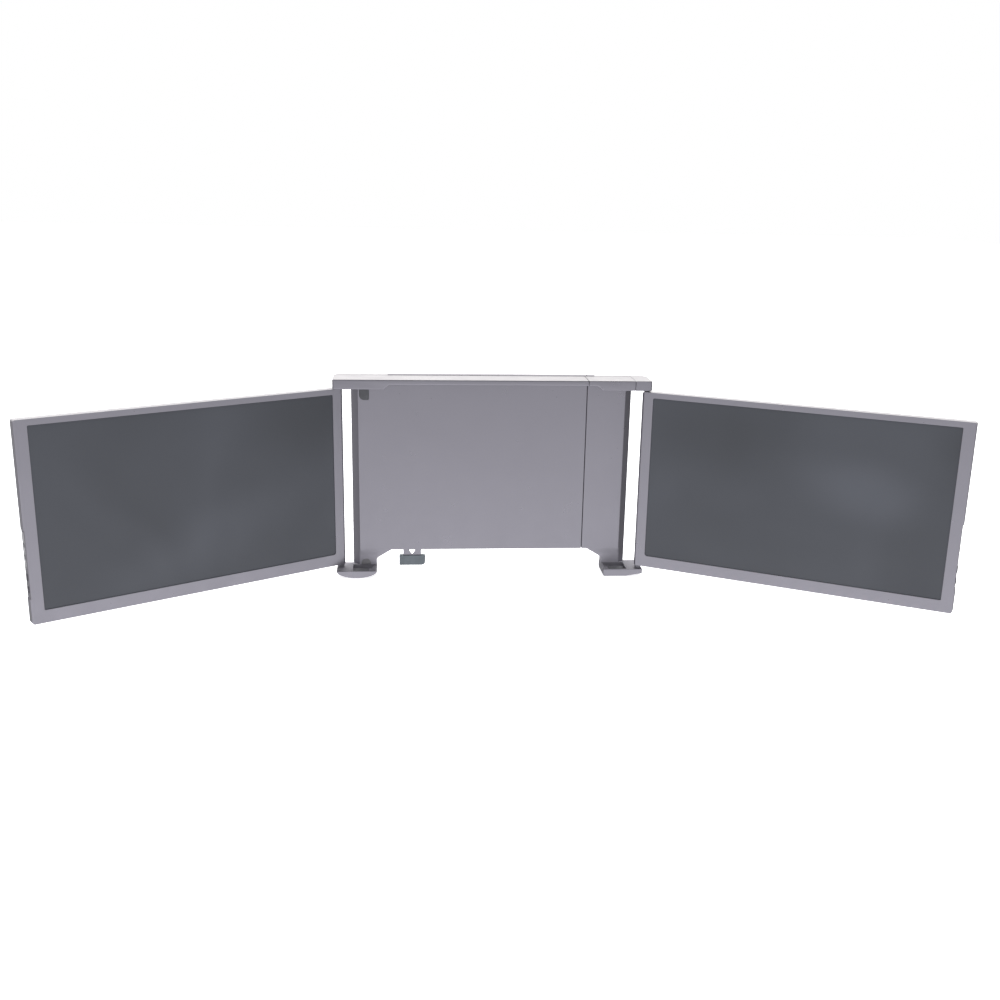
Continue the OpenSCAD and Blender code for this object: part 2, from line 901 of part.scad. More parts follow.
// A pill-shaped key with a flange behind the wall that keeps it in
module edge_button(side, z) {
    body_x0 = case_x1 - 2.4;
    color(dark_grey) on_hinge(side) translate([bay_floor + button_proud, port_y, z])
        rotate([0, -90, 0]) {
            linear_extrude(height = bay_floor + button_proud - body_x0) pill(button_w, button_t);
            translate([0, 0, bay_floor + button_proud - case_x1 + 0.1])
                linear_extrude(height = 1) pill(button_w + 1.6, button_t + 0.8);
        }
}

module left_bezel() { bezel(left); }
module left_display_panel() { display_panel(left); }
module left_backlight() { backlight(left); }
module left_rear_shell() { rear_shell(left); }
module left_driver_board() { driver_board(left); }
module left_port_sockets() { port_sockets(left); }
module left_hinge_sleeves() { hinge_sleeves(left); }
module left_shell_screws() { shell_screws(left); }
module left_power_button() { edge_button(left, power_button_z); }
module left_menu_button() { edge_button(left, menu_button_z); }

module right_bezel() { bezel(right); }
module right_display_panel() { display_panel(right); }
module right_backlight() { backlight(right); }
module right_rear_shell() { rear_shell(right); }
module right_driver_board() { driver_board(right); }
module right_port_sockets() { port_sockets(right); }
module right_hinge_sleeves() { hinge_sleeves(right); }
module right_shell_screws() { shell_screws(right); }
module right_power_button() { edge_button(right, power_button_z); }
module right_menu_button() { edge_button(right, menu_button_z); }

// ---- Fasteners --------------------------------------------------------------------------

// A pan-head screw from the back, with a cross recess
module cover_screw(x, z) {
    head_back = housing_depth - 0.2;
    difference() {
        union() {
            rod_y(x, z, screw_r, 4, head_back - 0.5);
            rod_y(x, z, screw_head_r, head_back - screw_head_h, head_back);
        }
        for (turn = [0, 90]) translate([x, head_back, z]) rotate([0, turn, 0])
            cube([3, 1.6, 0.8], center = true);
    }
}

module rear_cover_screws() {
    color(steel) on_table() for (s = body_screws) cover_screw(s[0], s[1]);
}

module carriage_screws() {
    color(steel) on_table() for (s = slide_screws) cover_screw(s[0], s[1]);
}

module shoe_screws(side) {
    for (x = shoe_screw_x) translate([side * x, shoe_screw_y, shoe_screw_seat - screw_head_h]) {
        cylinder(r = screw_r, h = shoe_screw_top - shoe_screw_seat + screw_head_h);
        difference() {
            cylinder(r = screw_head_r, h = screw_head_h);
            for (turn = [0, 90]) rotate([0, 0, turn]) cube([3, 0.8, 1.6], center = true);
        }
    }
}

module left_foot_screws() {
    color(steel) on_table() shoe_screws(left);
}

module right_foot_screws() {
    color(steel) on_table() shoe_screws(right);
}

// ---- Stand ------------------------------------------------------------------------------

module kickstand_pin() {
    color(steel) on_table() translate([stand_x, stand_pin_y, stand_hinge_z]) rotate([0, 90, 0])
        cylinder(r = stand_pin_r, h = stand_w + 2 * stand_pocket_gap + 2.6, center = true);
}

// Leg with a long slot that ends in a point at the bottom
module kickstand_leg() {
    half = stand_w / 2;
    slot = stand_slot_w / 2;
    color(body_grey) on_table() difference() {
        union() {
            upright(stand_front, stand_front + stand_thickness)
                translate([stand_x - half, stand_foot_z])
                    square([stand_w, stand_hinge_z - stand_foot_z]);
            translate([stand_x, stand_pin_y, stand_hinge_z]) rotate([0, 90, 0])
                cylinder(r = stand_barrel_r, h = stand_w, center = true);
        }
        upright(stand_front - cut, stand_front + stand_thickness + cut) translate([stand_x, 0])
            polygon(rounded([
                [0, stand_slot_bottom, 0], [slot, stand_slot_bottom + slot + 1, 1],
                [slot, stand_slot_top, 2.9], [-slot, stand_slot_top, 2.9],
                [-slot, stand_slot_bottom + slot + 1, 1]
            ]));
        translate([stand_x, stand_pin_y, stand_hinge_z]) rotate([0, 90, 0])
            cylinder(r = stand_pin_r + pin_clearance, h = stand_w + 2 * cut, center = true);
    }
}

module kickstand_shoe() {
    half = stand_w / 2;
    color(rubber_black) on_table() difference() {
        upright(stand_shoe_y0, stand_shoe_y1) polygon(rounded([
            [stand_shoe_x0, stand_shoe_z0, 1], [stand_shoe_x1, stand_shoe_z0, 4],
            [stand_shoe_x1, stand_shoe_z1, 0.8], [stand_shoe_x0, stand_shoe_z1, 0.8]
        ]));
        block([stand_x - half, stand_front, stand_foot_z],
              [stand_x + half, stand_front + stand_thickness, stand_shoe_z1 + cut]);
    }
}

// ---- Assembly ---------------------------------------------------------------------------

front_shell();
rear_cover();
top_bar();
bar_lining();
left_foot();
upper_guide_rail();
lower_guide_rail();
left_upper_hinge_pin();
left_lower_hinge_pin();
left_hinge_washers();
kickstand_pin();
upper_lid_pad();
lower_lid_pad();
left_floor_pad();
left_foot_pad();
rear_cover_screws();
left_foot_screws();
carriage_shell();
carriage_cover();
carriage_bar();
bar_end_cap();
bar_tongue();
carriage_sleeve();
right_foot();
upper_slide_arm();
lower_slide_arm();
right_upper_hinge_pin();
right_lower_hinge_pin();
right_hinge_washers();
right_floor_pad();
right_foot_pad();
carriage_screws();
right_foot_screws();
left_bezel();
left_display_panel();
left_backlight();
left_rear_shell();
left_driver_board();
left_port_sockets();
left_hinge_sleeves();
left_shell_screws();
left_power_button();
left_menu_button();
right_bezel();
right_display_panel();
right_backlight();
right_rear_shell();
right_driver_board();
right_port_sockets();
right_hinge_sleeves();
right_shell_screws();
right_power_button();
right_menu_button();
kickstand_leg();
kickstand_shoe();
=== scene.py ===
import json
import math

import bmesh
import bpy
from bpy.props import (
    FloatProperty,
    FloatVectorProperty,
    IntProperty,
    PointerProperty,
)
from mathutils import Matrix, Vector

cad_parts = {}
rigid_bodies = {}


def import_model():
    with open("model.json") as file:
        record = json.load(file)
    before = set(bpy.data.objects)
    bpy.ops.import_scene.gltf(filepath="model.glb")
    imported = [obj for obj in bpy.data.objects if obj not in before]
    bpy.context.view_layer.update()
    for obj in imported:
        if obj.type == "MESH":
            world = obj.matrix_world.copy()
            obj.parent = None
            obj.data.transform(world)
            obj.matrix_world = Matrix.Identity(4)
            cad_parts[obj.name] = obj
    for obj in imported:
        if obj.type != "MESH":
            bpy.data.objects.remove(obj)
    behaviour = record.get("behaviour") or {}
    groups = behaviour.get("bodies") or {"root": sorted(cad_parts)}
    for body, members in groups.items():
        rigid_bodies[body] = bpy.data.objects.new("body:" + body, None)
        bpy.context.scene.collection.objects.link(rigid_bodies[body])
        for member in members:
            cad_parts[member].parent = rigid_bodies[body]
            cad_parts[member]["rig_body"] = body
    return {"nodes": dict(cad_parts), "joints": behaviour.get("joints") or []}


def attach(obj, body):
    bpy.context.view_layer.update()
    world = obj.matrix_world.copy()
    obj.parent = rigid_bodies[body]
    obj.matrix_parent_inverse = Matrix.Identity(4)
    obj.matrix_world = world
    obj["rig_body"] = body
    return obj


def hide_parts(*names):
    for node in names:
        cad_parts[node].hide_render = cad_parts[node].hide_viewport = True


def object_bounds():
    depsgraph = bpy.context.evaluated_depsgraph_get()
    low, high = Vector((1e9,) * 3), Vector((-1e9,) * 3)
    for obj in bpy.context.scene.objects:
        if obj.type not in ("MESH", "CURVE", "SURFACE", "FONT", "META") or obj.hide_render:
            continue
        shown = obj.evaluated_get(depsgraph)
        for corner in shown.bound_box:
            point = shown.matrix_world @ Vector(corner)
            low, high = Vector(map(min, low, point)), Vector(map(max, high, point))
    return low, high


bl_info = {
    "name": "Laptop Screen Extender",
    "version": (1, 0, 0),
    "blender": (4, 5, 0),
    "location": "View3D > Sidebar > Extender",
    "description": "Finishes a clamp for a laptop's lid and the folding display at each side of it",
    "category": "Object",
}

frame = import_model()
cad_low, cad_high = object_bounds()

SIDES = ("left", "right")
UP = Vector((0, 0, 1))
BACK = Vector((0, 1, 0))
MM = 0.001

# How a CAD mesh is cleaned, which of its edges are rounded, and which faces shade as one
MERGE_DISTANCE = 0.000002
FLAT_ANGLE = math.radians(0.6)
CORNER_ANGLE = math.radians(35)
SMOOTH_SHARE = math.cos(math.radians(40))
# The largest radius at a seam, and how near to the seam's plane an edge belongs to it
SEAM_RADIUS = 0.15 * MM
SEAM_REACH = 0.01 * MM
# A corner's radius shrinks where a face beside it is narrower than this many radii
ROOM_PER_RADIUS = 2.2
# Two edges of a face oppose each other where the product of their inward directions is below the
# first, and face each other where at least the second share of their offset runs inward
OPPOSED = -0.3
FACING_SHARE = 0.7
# The room beside an edge that no other edge faces
FAR = 1.0
# How near to a solid's furthest place a point belongs to its outer end
END_REACH = 0.4 * MM

# Sides of a shell that meet its neighbour in a tight seam; 0y is the plane of the plate's face
SIDE_WAYS = {"+x": Vector((1, 0, 0)), "-x": Vector((-1, 0, 0)), "-z": -UP, "0y": BACK}

# Painted shells: the new piece's name, the node it replaces, its corner radius in mm, its paint
# and the sides where it meets a neighbour
CLAMP_SHELLS = (
    ("plate", "front_shell", 0.7, "plate_paint", "+x -z"),
    ("back_panel", "rear_cover", 0.8, "satin_paint", "+x"),
    ("bar", "top_bar", 1.0, "satin_paint", "+x"),
    ("left_shoe", "left_foot", 0.6, "shoe_paint", "0y"),
    ("sliding_plate", "carriage_shell", 0.7, "plate_paint", "-x -z"),
    ("sliding_back_panel", "carriage_cover", 0.8, "satin_paint", "-x"),
    ("sliding_bar", "carriage_bar", 1.0, "satin_paint", "-x"),
    ("bar_cap", "bar_end_cap", 0.5, "satin_paint", ""),
    ("right_shoe", "right_foot", 0.6, "shoe_paint", "0y"),
)
# Where paint is matt and carries painted light or shade: a factor on its colour, which paints
# that light or shade, then an axis and the two places between which each zone sets in
# Painted shade: all of the shoe behind its front face is darkened, and its coat is matt
SHOE_MATT_AND_PAINTED_SHADE = (0.85, ("Y", -24.6 * MM, -23.6 * MM))
# Painted light: the low end of the plate's face, on its legs, is lightened, and its coat is matt
LEG_MATT_AND_PAINTED_LIGHT = (1.60, ("Z", -92 * MM, -100 * MM), ("Y", 1.5 * MM, 0.3 * MM))

# Painted reflections on the displays, as wide soft spots that are lighter or darker: middle,
# reach along each axis, turn, and the factor that the colour has in the middle
PAINTED_REFLECTIONS = (
    ((0.3645, -0.141, 0.006), (0.100, 0.06, 0.050), (0, 0.22, -0.525), 1.30),
    ((0.230, -0.062, 0.050), (0.150, 0.06, 0.080), (0, 0, -0.525), 0.72),
    ((0.450, -0.190, 0.060), (0.070, 0.06, 0.060), (0, 0, -0.525), 0.72),
    ((-0.280, -0.088, -0.050), (0.190, 0.06, 0.050), (0, -0.35, 0.571), 1.22),
    ((-0.190, -0.030, 0.065), (0.110, 0.06, 0.070), (0, 0, 0.571), 0.74),
)

# Rubber pieces: the new piece's name, the node it replaces, its corner radius in mm, its finish
RUBBER_PARTS = (
    ("stand_grip", "kickstand_shoe", 0.5, "grip_rubber"),
    ("upper_pad", "upper_lid_pad", 0.25, "pad_rubber"),
    ("lower_pad", "lower_lid_pad", 0.25, "clear_bumper"),
    ("left_mat", "left_floor_pad", 0.15, "mat_silicone"),
    ("right_mat", "right_floor_pad", 0.15, "mat_silicone"),
    ("left_sole", "left_foot_pad", 0.25, "pad_rubber"),
    ("right_sole", "right_foot_pad", 0.25, "pad_rubber"),
)
# Nodes of bare steel
METAL_NODES = (
    "upper_guide_rail", "lower_guide_rail", "upper_slide_arm", "lower_slide_arm", "bar_tongue",
    "left_upper_hinge_pin", "left_lower_hinge_pin", "right_upper_hinge_pin",
    "right_lower_hinge_pin", "left_hinge_sleeves", "right_hinge_sleeves", "kickstand_pin",
)

PLASTIC_BLACK = (0.045, 0.045, 0.050)
KEY_GREY = (0.105, 0.103, 0.115)
STEEL_GREY = (0.56, 0.56, 0.57)
SCREW_BLACK = (0.16, 0.16, 0.17)
GOLD = (0.83, 0.62, 0.27)
MASK_GREEN = (0.035, 0.16, 0.075)
GUIDE_WHITE = (0.80, 0.80, 0.78)

# Screws: radius and height of the head, radius of the shank
LARGE_SCREW = (2.3 * MM, 1.6 * MM, 1.25 * MM)
SMALL_SCREW = (1.7 * MM, 0.9 * MM, 0.8 * MM)
# From a head's middle to its side: shares of its radius, and of its rim's height below the top
HEAD_CURVE = ((0.55, 0.08), (0.84, 0.4), (0.97, 0.85), (1, 1.3))
RIM_SHARE = 0.35
# A recess's width and length as shares of the head's radius, its depth as one of the height
RECESS_SHARES = (0.28, 1.25, 0.7)
# How much of that width and length is left at its floor, and how far its cutter stands above
# the head
RECESS_TAPER = 0.55
RECESS_RISE = 0.1 * MM

# A port's rolled lip, from inside to outside: depth in mm and share of the wall's thickness
LIP = ((0.12, 1), (0.03, 0.85), (0, 0.6), (0, 0.35), (0.04, 0.1), (0.12, 0))
VIDEO_CORNER = 0.45 * MM
LEAST_CORNER = 0.05 * MM
ROUND_END_GAP = 0.001 * MM
# Width of a tongue as a share of its port's width
VIDEO_TONGUE = 0.60
DATA_TONGUE = 0.74
# A tongue starts behind the floor of its well and is chamfered from its edge to its tip, which
# are depths behind the mouth
TONGUE_ROOT = 0.2 * MM
TONGUE_EDGE = 1.0 * MM
TONGUE_TIP = 0.8 * MM
TONGUE_CHAMFER = 0.12 * MM
TONGUE_CORNER = 0.1 * MM
TONGUE_STEPS = 3
# Contacts: the share of a tongue that their row fills, the depth of their middle behind the mouth,
# their length, what they add to the tongue's thickness, their corner and the trim at their ends
CONTACT_COVER = 0.9
CONTACT_DEPTH = 2.1 * MM
CONTACT_LENGTH = 2.2 * MM
CONTACT_RISE = 0.06 * MM
CONTACT_CORNER = 0.02 * MM
CONTACT_STEPS = 2
CONTACT_TRIM = 0.03 * MM
# Half a contact's width as a share of the row's pitch, and the share of it that isn't trimmed
CONTACT_HALF_SHARE = 0.29
CONTACT_FLAT = 0.8

# The camera's sensor in millimetres
SENSOR_WIDTH = 36
# How far the picture's middle is shifted, as shares of its width
CAMERA_SHIFT = (-0.00678, 0.04319)
LAMP_TILT = math.radians(-12)
FLOOR_GAP = 0.02 * MM

# How the room's light changes with a direction's part along one axis: the two parts that it
# changes between, then the light at each of them. Rows of two numbers give only the parts
BACK_REACH = (0.55, 0.84)
BACK_FOOT = (-0.02, 0.14, 0, 1)
BACK_TOP = (0.70, 0.98, 1, 0)
FRONT_REACH = (0.05, -0.50)
FRONT_TOP = (0.35, 0.80, 1, 0)
FRONT_FALL = (-0.36, -0.08, 1.22, 0.48)
FRONT_MIDDLE = (-0.75, -1, 1, 0.97)
SIDE_REACH = (-0.50, 0.05, 0, 1)
SIDE_SPREAD = (-0.8, 0.8)
# Shares of the side glow at the left and at the right
SIDE_SHARES = (1.35, 0.65)
COOL_LIGHT = (0.98, 0.98, 1.0, 1)
WARM_LIGHT = (1.0, 0.98, 0.93, 1)


# ---- Settings ----------------------------------------------------------------------------------

class StageSettings(bpy.types.PropertyGroup):
    floor_colour: FloatVectorProperty(
        name="Floor colour", description="Colour of the floor",
        subtype="COLOR", size=3, min=0, max=1, default=(0.80, 0.80, 0.81))
    floor_glow: FloatProperty(
        name="Floor glow", description="How much the floor shines of itself, which fades shadows",
        min=0, default=0.95)
    floor_reach: FloatProperty(
        name="Floor reach", description="Distance from the middle to the floor's side edges",
        unit="LENGTH", min=1, default=5)
    back_glow: FloatProperty(
        name="Back glow", description="Brightness of the lit wall behind the object",
        min=0, default=1.62)
    front_glow: FloatProperty(
        name="Front glow", description="Brightness of the room on the user's side",
        min=0, default=1.34)
    side_glow: FloatProperty(
        name="Side glow", description="Brightness of the dim rest of the room",
        min=0, default=0.36)
    top_light: FloatProperty(
        name="Top light", description="Strength of the wide light from overhead",
        min=0, default=4.4)
    top_spread: FloatProperty(
        name="Top spread", description="Angle that the wide overhead light fills",
        subtype="ANGLE", default=math.radians(80))
    eye: FloatVectorProperty(
        name="Camera place", description="Where the camera stands", subtype="TRANSLATION",
        unit="LENGTH", size=3, default=(-0.10037, -1.25909, 0.29411))
    yaw: FloatProperty(
        name="Camera yaw", description="Turn of the camera about the upright, to the left",
        subtype="ANGLE", default=math.radians(-5.4114))
    pitch: FloatProperty(
        name="Camera pitch", description="How far the camera looks down",
        subtype="ANGLE", default=math.radians(16.7479))
    roll: FloatProperty(
        name="Camera roll", description="Turn of the camera about its own line of sight",
        subtype="ANGLE", default=math.radians(1.18485))
    lens: FloatProperty(
        name="Lens", description="Focal length in millimetres on a 36 mm sensor",
        min=10, default=42.888)


class PaintSettings(bpy.types.PropertyGroup):
    colour: FloatVectorProperty(
        name="Paint", description="Colour of the satin metallic paint on the shells",
        subtype="COLOR", size=3, min=0, max=1, default=(0.272, 0.264, 0.298))
    roughness: FloatProperty(
        name="Paint roughness", description="How dull the paint is", subtype="FACTOR",
        min=0, max=1, default=0.30)
    metal: FloatProperty(
        name="Flake share", description="How metallic the paint is", subtype="FACTOR",
        min=0, max=1, default=0.82)
    dull: FloatProperty(
        name="Matt roughness", description="How dull the paint is in its matt zones",
        subtype="FACTOR", min=0, max=1, default=0.72)
    dull_metal: FloatProperty(
        name="Matt flake share", description="How metallic the paint is in its matt zones",
        subtype="FACTOR", min=0, max=1, default=0.1)
    corner: FloatProperty(
        name="Corner scale", description="Factor on the radius of every rounded corner",
        min=0.1, max=2, default=1)
    corner_steps: IntProperty(
        name="Corner steps", description="Faces across a rounded corner", min=1, max=6, default=3)


class DisplaySettings(bpy.types.PropertyGroup):
    colour: FloatVectorProperty(
        name="Display", description="Colour of the anti-glare film while the display is off",
        subtype="COLOR", size=3, min=0, max=1, default=(0.063, 0.068, 0.082))
    roughness: FloatProperty(
        name="Film roughness", description="How far the film spreads a reflection",
        subtype="FACTOR", min=0, max=1, default=0.34)


class RubberSettings(bpy.types.PropertyGroup):
    grip: FloatVectorProperty(
        name="Stand grip", description="Colour of the stand's grip", subtype="COLOR", size=3,
        min=0, max=1, default=(0.165, 0.190, 0.210))
    pad: FloatVectorProperty(
        name="Pads", description="Colour of the upper pad, the soles and the bar's lining",
        subtype="COLOR", size=3, min=0, max=1, default=(0.105, 0.108, 0.117))
    bumper: FloatVectorProperty(
        name="Bumper", description="Colour of the clear bumper low on the plate",
        subtype="COLOR", size=3, min=0, max=1, default=(0.28, 0.275, 0.29))
    mat: FloatVectorProperty(
        name="Shoe mats", description="Colour of the silicone mats in the shoes",
        subtype="COLOR", size=3, min=0, max=1, default=(0.115, 0.115, 0.125))


class PortSettings(bpy.types.PropertyGroup):
    wall: FloatProperty(
        name="Shell wall", description="Thickness of a port's drawn shell", unit="LENGTH",
        min=0.0001, default=0.3 * MM)
    well: FloatProperty(
        name="Well depth", description="Depth of a port behind its mouth", unit="LENGTH",
        min=0.001, default=4.2 * MM)
    tongue: FloatProperty(
        name="Tongue", description="Thickness of the tongue in a port", unit="LENGTH",
        min=0.0002, default=0.7 * MM)
    wide_from: FloatProperty(
        name="Wide from", description="Width from which a port is a video port", unit="LENGTH",
        min=0.001, default=10 * MM)
    corner_steps: IntProperty(
        name="Mouth steps", description="Faces round a quarter of a port's mouth",
        min=2, max=16, default=8)
    contacts: IntProperty(
        name="Contacts", description="Contacts side by side in a data port", min=1, default=12)
    wide_contacts: IntProperty(
        name="Video contacts", description="Contacts side by side in a video port", min=1,
        default=10)


class FastenerSettings(bpy.types.PropertyGroup):
    head_steps: IntProperty(
        name="Head steps", description="Faces round a screw's head", min=12, max=64, default=32)
    spin_seed: IntProperty(
        name="Turn seed", description="Seed of the angle at which each screw was left", default=7)


class ExtenderSettings(bpy.types.PropertyGroup):
    stage: PointerProperty(type=StageSettings)
    paint: PointerProperty(type=PaintSettings)
    display: PointerProperty(type=DisplaySettings)
    rubber: PointerProperty(type=RubberSettings)
    port: PointerProperty(type=PortSettings)
    fastener: PointerProperty(type=FastenerSettings)


def settings():
    return bpy.context.scene.extender


# ---- Finishes ----------------------------------------------------------------------------------

class Finish:
    """One material, built up from noise on the piece's own coordinates."""

    def __init__(self, name):
        self.material = bpy.data.materials.new(name)
        self.material.use_nodes = True
        self.tree = self.material.node_tree
        self.shader = self.tree.nodes["Principled BSDF"]
        self.place = self.add("ShaderNodeTexCoord").outputs["Object"]

    def add(self, kind, **inputs):
        """Adds a node and gives its named inputs a value or a link."""
        node = self.tree.nodes.new(kind)
        for name, value in inputs.items():
            self.feed(node.inputs[name.replace("_", " ")], value)
        return node

    def feed(self, socket, value):
        """Links a socket to the value, or sets it."""
        if isinstance(value, bpy.types.NodeSocket):
            self.tree.links.new(value, socket)
        else:
            socket.default_value = value

    def solid(self, **values):
        """Sets the shader's own sockets."""
        for name, value in values.items():
            self.feed(self.shader.inputs[name.replace("_", " ")], value)

    def stretched(self, scale):
        """The coordinates scaled along each axis, for marks that run one way."""
        return self.add("ShaderNodeMapping", Vector=self.place, Scale=scale).outputs["Vector"]

    def noise(self, scale, detail=2.0, roughness=0.5, distortion=0.0, place=None):
        """Cloudy noise from 0 to 1."""
        node = self.add(
            "ShaderNodeTexNoise", Vector=place or self.place, Scale=scale, Detail=detail,
            Roughness=roughness, Distortion=distortion)
        return node.outputs["Fac"]

    def cells(self, scale):
        """The distance to the nearest of many scattered points."""
        node = self.add("ShaderNodeTexVoronoi", Vector=self.place, Scale=scale)
        return node.outputs["Distance"]

    def between(self, source, low, high, start=0.3, end=0.7, soft=False):
        """The source, spread over the values from low to high."""
        node = self.add("ShaderNodeMapRange", Value=source, From_Min=start, From_Max=end,
                        To_Min=low, To_Max=high)
        if soft:
            node.interpolation_type = "SMOOTHERSTEP"
        return node.outputs["Result"]

    def away_from(self, middle, reach, turn):
        """The distance from a place, as a share of its reach along its own three axes."""
        node = self.tree.nodes.new("ShaderNodeMapping")
        node.vector_type = "TEXTURE"
        for name, value in (("Vector", self.place), ("Location", middle), ("Scale", reach),
                            ("Rotation", turn)):
            self.feed(node.inputs[name], value)
        length = self.tree.nodes.new("ShaderNodeVectorMath")
        length.operation = "LENGTH"
        self.feed(length.inputs[0], node.outputs["Vector"])
        return length.outputs["Value"]

    def shade(self, colour, amount):
        """The colour made lighter or darker by a factor that varies."""
        node = self.tree.nodes.new("ShaderNodeMix")
        node.data_type = "RGBA"
        node.blend_type = "MULTIPLY"
        node.inputs["Factor"].default_value = 1
        colours = [socket for socket in node.inputs if socket.type == "RGBA"]
        self.feed(colours[0], (*colour, 1) if not isinstance(colour, bpy.types.NodeSocket)
                  else colour)
        grey = self.add("ShaderNodeCombineColor", Red=amount, Green=amount, Blue=amount)
        self.feed(colours[1], grey.outputs["Color"])
        return [socket for socket in node.outputs if socket.type == "RGBA"][0]

    def relief(self, height, depth, strength=1.0, under=None):
        """A bump of the given depth in metres, over another bump where there is one."""
        node = self.add("ShaderNodeBump", Height=height, Distance=depth, Strength=strength)
        if under is not None:
            self.feed(node.inputs["Normal"], under)
        return node.outputs["Normal"]


def paint_finish(name, dull=None):
    """Satin metallic paint: fine flakes, a slight orange peel and softly varying gloss.

    dull is a factor on the colour that paints light or shade, then the zones in whose overlap
    the painted light or shade lies and the coat is matt.
    """
    look = settings().paint
    roughness = look.roughness
    paint = Finish(name)
    flakes = paint.between(paint.noise(5200, detail=1), 0.965, 1.035)
    clouds = paint.between(paint.noise(14, detail=3, distortion=0.4), 0.985, 1.015)
    base = paint.shade(paint.shade(look.colour, flakes), clouds)
    gloss = paint.between(paint.noise(55, detail=4, roughness=0.6),
                          roughness - 0.03, roughness + 0.03)
    metal = look.metal
    if dull is not None:
        factor, *zones = dull
        ways = paint.add("ShaderNodeSeparateXYZ", Vector=paint.place).outputs
        matt = 1
        for axis, start, end in zones:
            matt = paint.between(ways[axis], 0, matt, start, end)
        # Painted light or shade: the colour lightened or darkened in the zones
        base = paint.shade(base, paint.between(matt, 1, factor, 0, 1))
        gloss = paint.between(matt, gloss, look.dull, 0, 1)
        metal = paint.between(matt, look.metal, look.dull_metal, 0, 1)
    grain = paint.relief(paint.noise(3600, detail=2), 0.006 * MM, 0.5)
    peel = paint.relief(paint.noise(420, detail=1), 0.008 * MM, 0.35, under=grain)
    paint.solid(Base_Color=base, Roughness=gloss, Normal=peel, Metallic=metal, IOR=1.5)
    return paint.material


def film_finish():
    """Anti-glare film over a dark panel, with its fine sparkle, soft smears and painted
    reflections.
    """
    look = settings().display
    film = Finish("anti_glare_film")
    sparkle = film.between(film.cells(4200), 0.93, 1.05, start=0.1, end=0.6)
    smears = film.between(film.noise(7.5, detail=1.5, roughness=0.4, distortion=0.8), 0.90, 1.12)
    base = film.shade(film.shade(look.colour, sparkle), smears)
    # Painted reflections: wide soft spots where the film's colour is lighter or darker
    for middle, reach, turn, amount in PAINTED_REFLECTIONS:
        painted_reflection = film.away_from(middle, reach, turn)
        base = film.shade(base, film.between(painted_reflection, amount, 1, 0, 1, soft=True))
    gloss = film.between(film.noise(26, detail=3), look.roughness - 0.03, look.roughness + 0.04)
    grain = film.relief(film.noise(4800, detail=1), 0.004 * MM, 0.35)
    film.solid(Base_Color=base, Roughness=gloss, Normal=grain, IOR=1.48)
    return film.material


def rubber_finish(name, colour):
    """Moulded rubber with a fine matt grain."""
    rubber = Finish(name)
    base = rubber.shade(colour, rubber.between(rubber.noise(160, detail=4), 0.90, 1.10))
    gloss = rubber.between(rubber.noise(90, detail=3), 0.62, 0.78)
    grain = rubber.relief(rubber.noise(2600, detail=3, roughness=0.6), 0.03 * MM, 0.6)
    rubber.solid(Base_Color=base, Roughness=gloss, Normal=grain, IOR=1.52)
    return rubber.material


def plastic_finish(name, colour):
    """Hard plastic with a spark-eroded texture."""
    plastic = Finish(name)
    base = plastic.shade(colour, plastic.between(plastic.noise(220, detail=3), 0.94, 1.06))
    gloss = plastic.between(plastic.noise(70, detail=2), 0.46, 0.58)
    grain = plastic.relief(plastic.cells(2400), 0.02 * MM, 0.5)
    plastic.solid(Base_Color=base, Roughness=gloss, Normal=grain, IOR=1.5)
    return plastic.material


def steel_finish():
    """Drawn steel, with fine marks along X and faint stains."""
    steel = Finish("drawn_steel")
    marks = steel.noise(900, detail=4, roughness=0.7, place=steel.stretched((0.04, 1, 1)))
    base = steel.shade(STEEL_GREY, steel.between(marks, 0.90, 1.08))
    gloss = steel.between(steel.noise(120, detail=3), 0.26, 0.40)
    steel.solid(Base_Color=base, Roughness=gloss, Normal=steel.relief(marks, 0.006 * MM, 0.5),
                Metallic=1.0)
    return steel.material


def screw_finish():
    """Blackened steel, rubbed brighter in patches."""
    screw = Finish("blackened_steel")
    worn = screw.noise(700, detail=4, roughness=0.65)
    base = screw.shade(SCREW_BLACK, screw.between(worn, 0.8, 1.35))
    screw.solid(Base_Color=base, Roughness=screw.between(worn, 0.30, 0.46), Metallic=0.9,
                Normal=screw.relief(worn, 0.008 * MM, 0.5))
    return screw.material


def gold_finish():
    """Thin gold plating on the ports' contacts."""
    gold = Finish("contact_gold")
    marks = gold.noise(2400, detail=3)
    base = gold.shade(GOLD, gold.between(marks, 0.92, 1.06))
    gold.solid(Base_Color=base, Roughness=gold.between(marks, 0.22, 0.34), Metallic=1.0)
    return gold.material


def board_finish():
    """Green solder mask over the copper's raised traces."""
    board = Finish("solder_mask")
    traces = board.add("ShaderNodeTexBrick", Vector=board.place, Scale=210.0,
                       Mortar_Size=0.12).outputs["Fac"]
    base = board.shade(MASK_GREEN, board.between(traces, 0.85, 1.25, 0, 1))
    board.solid(Base_Color=base, Roughness=board.between(board.noise(300), 0.28, 0.42),
                Normal=board.relief(traces, 0.03 * MM, 0.6))
    return board.material


def light_guide_finish():
    """Acrylic light guide behind white films, with its pattern of printed dots."""
    guide = Finish("light_guide")
    dots = guide.between(guide.cells(700), 1.0, 0.88, 0.1, 0.3)
    guide.solid(Base_Color=guide.shade(GUIDE_WHITE, dots),
                Roughness=guide.between(guide.noise(40), 0.22, 0.34))
    return guide.material


def floor_finish():
    """A pale floor that shines a little of itself."""
    floor = Finish("pale_floor")
    base = floor.shade(settings().stage.floor_colour,
                       floor.between(floor.noise(1.5, detail=2), 0.995, 1.005))
    floor.solid(Base_Color=base, Roughness=floor.between(floor.noise(9), 0.78, 0.86),
                Emission_Color=base, Emission_Strength=settings().stage.floor_glow)
    return floor.material


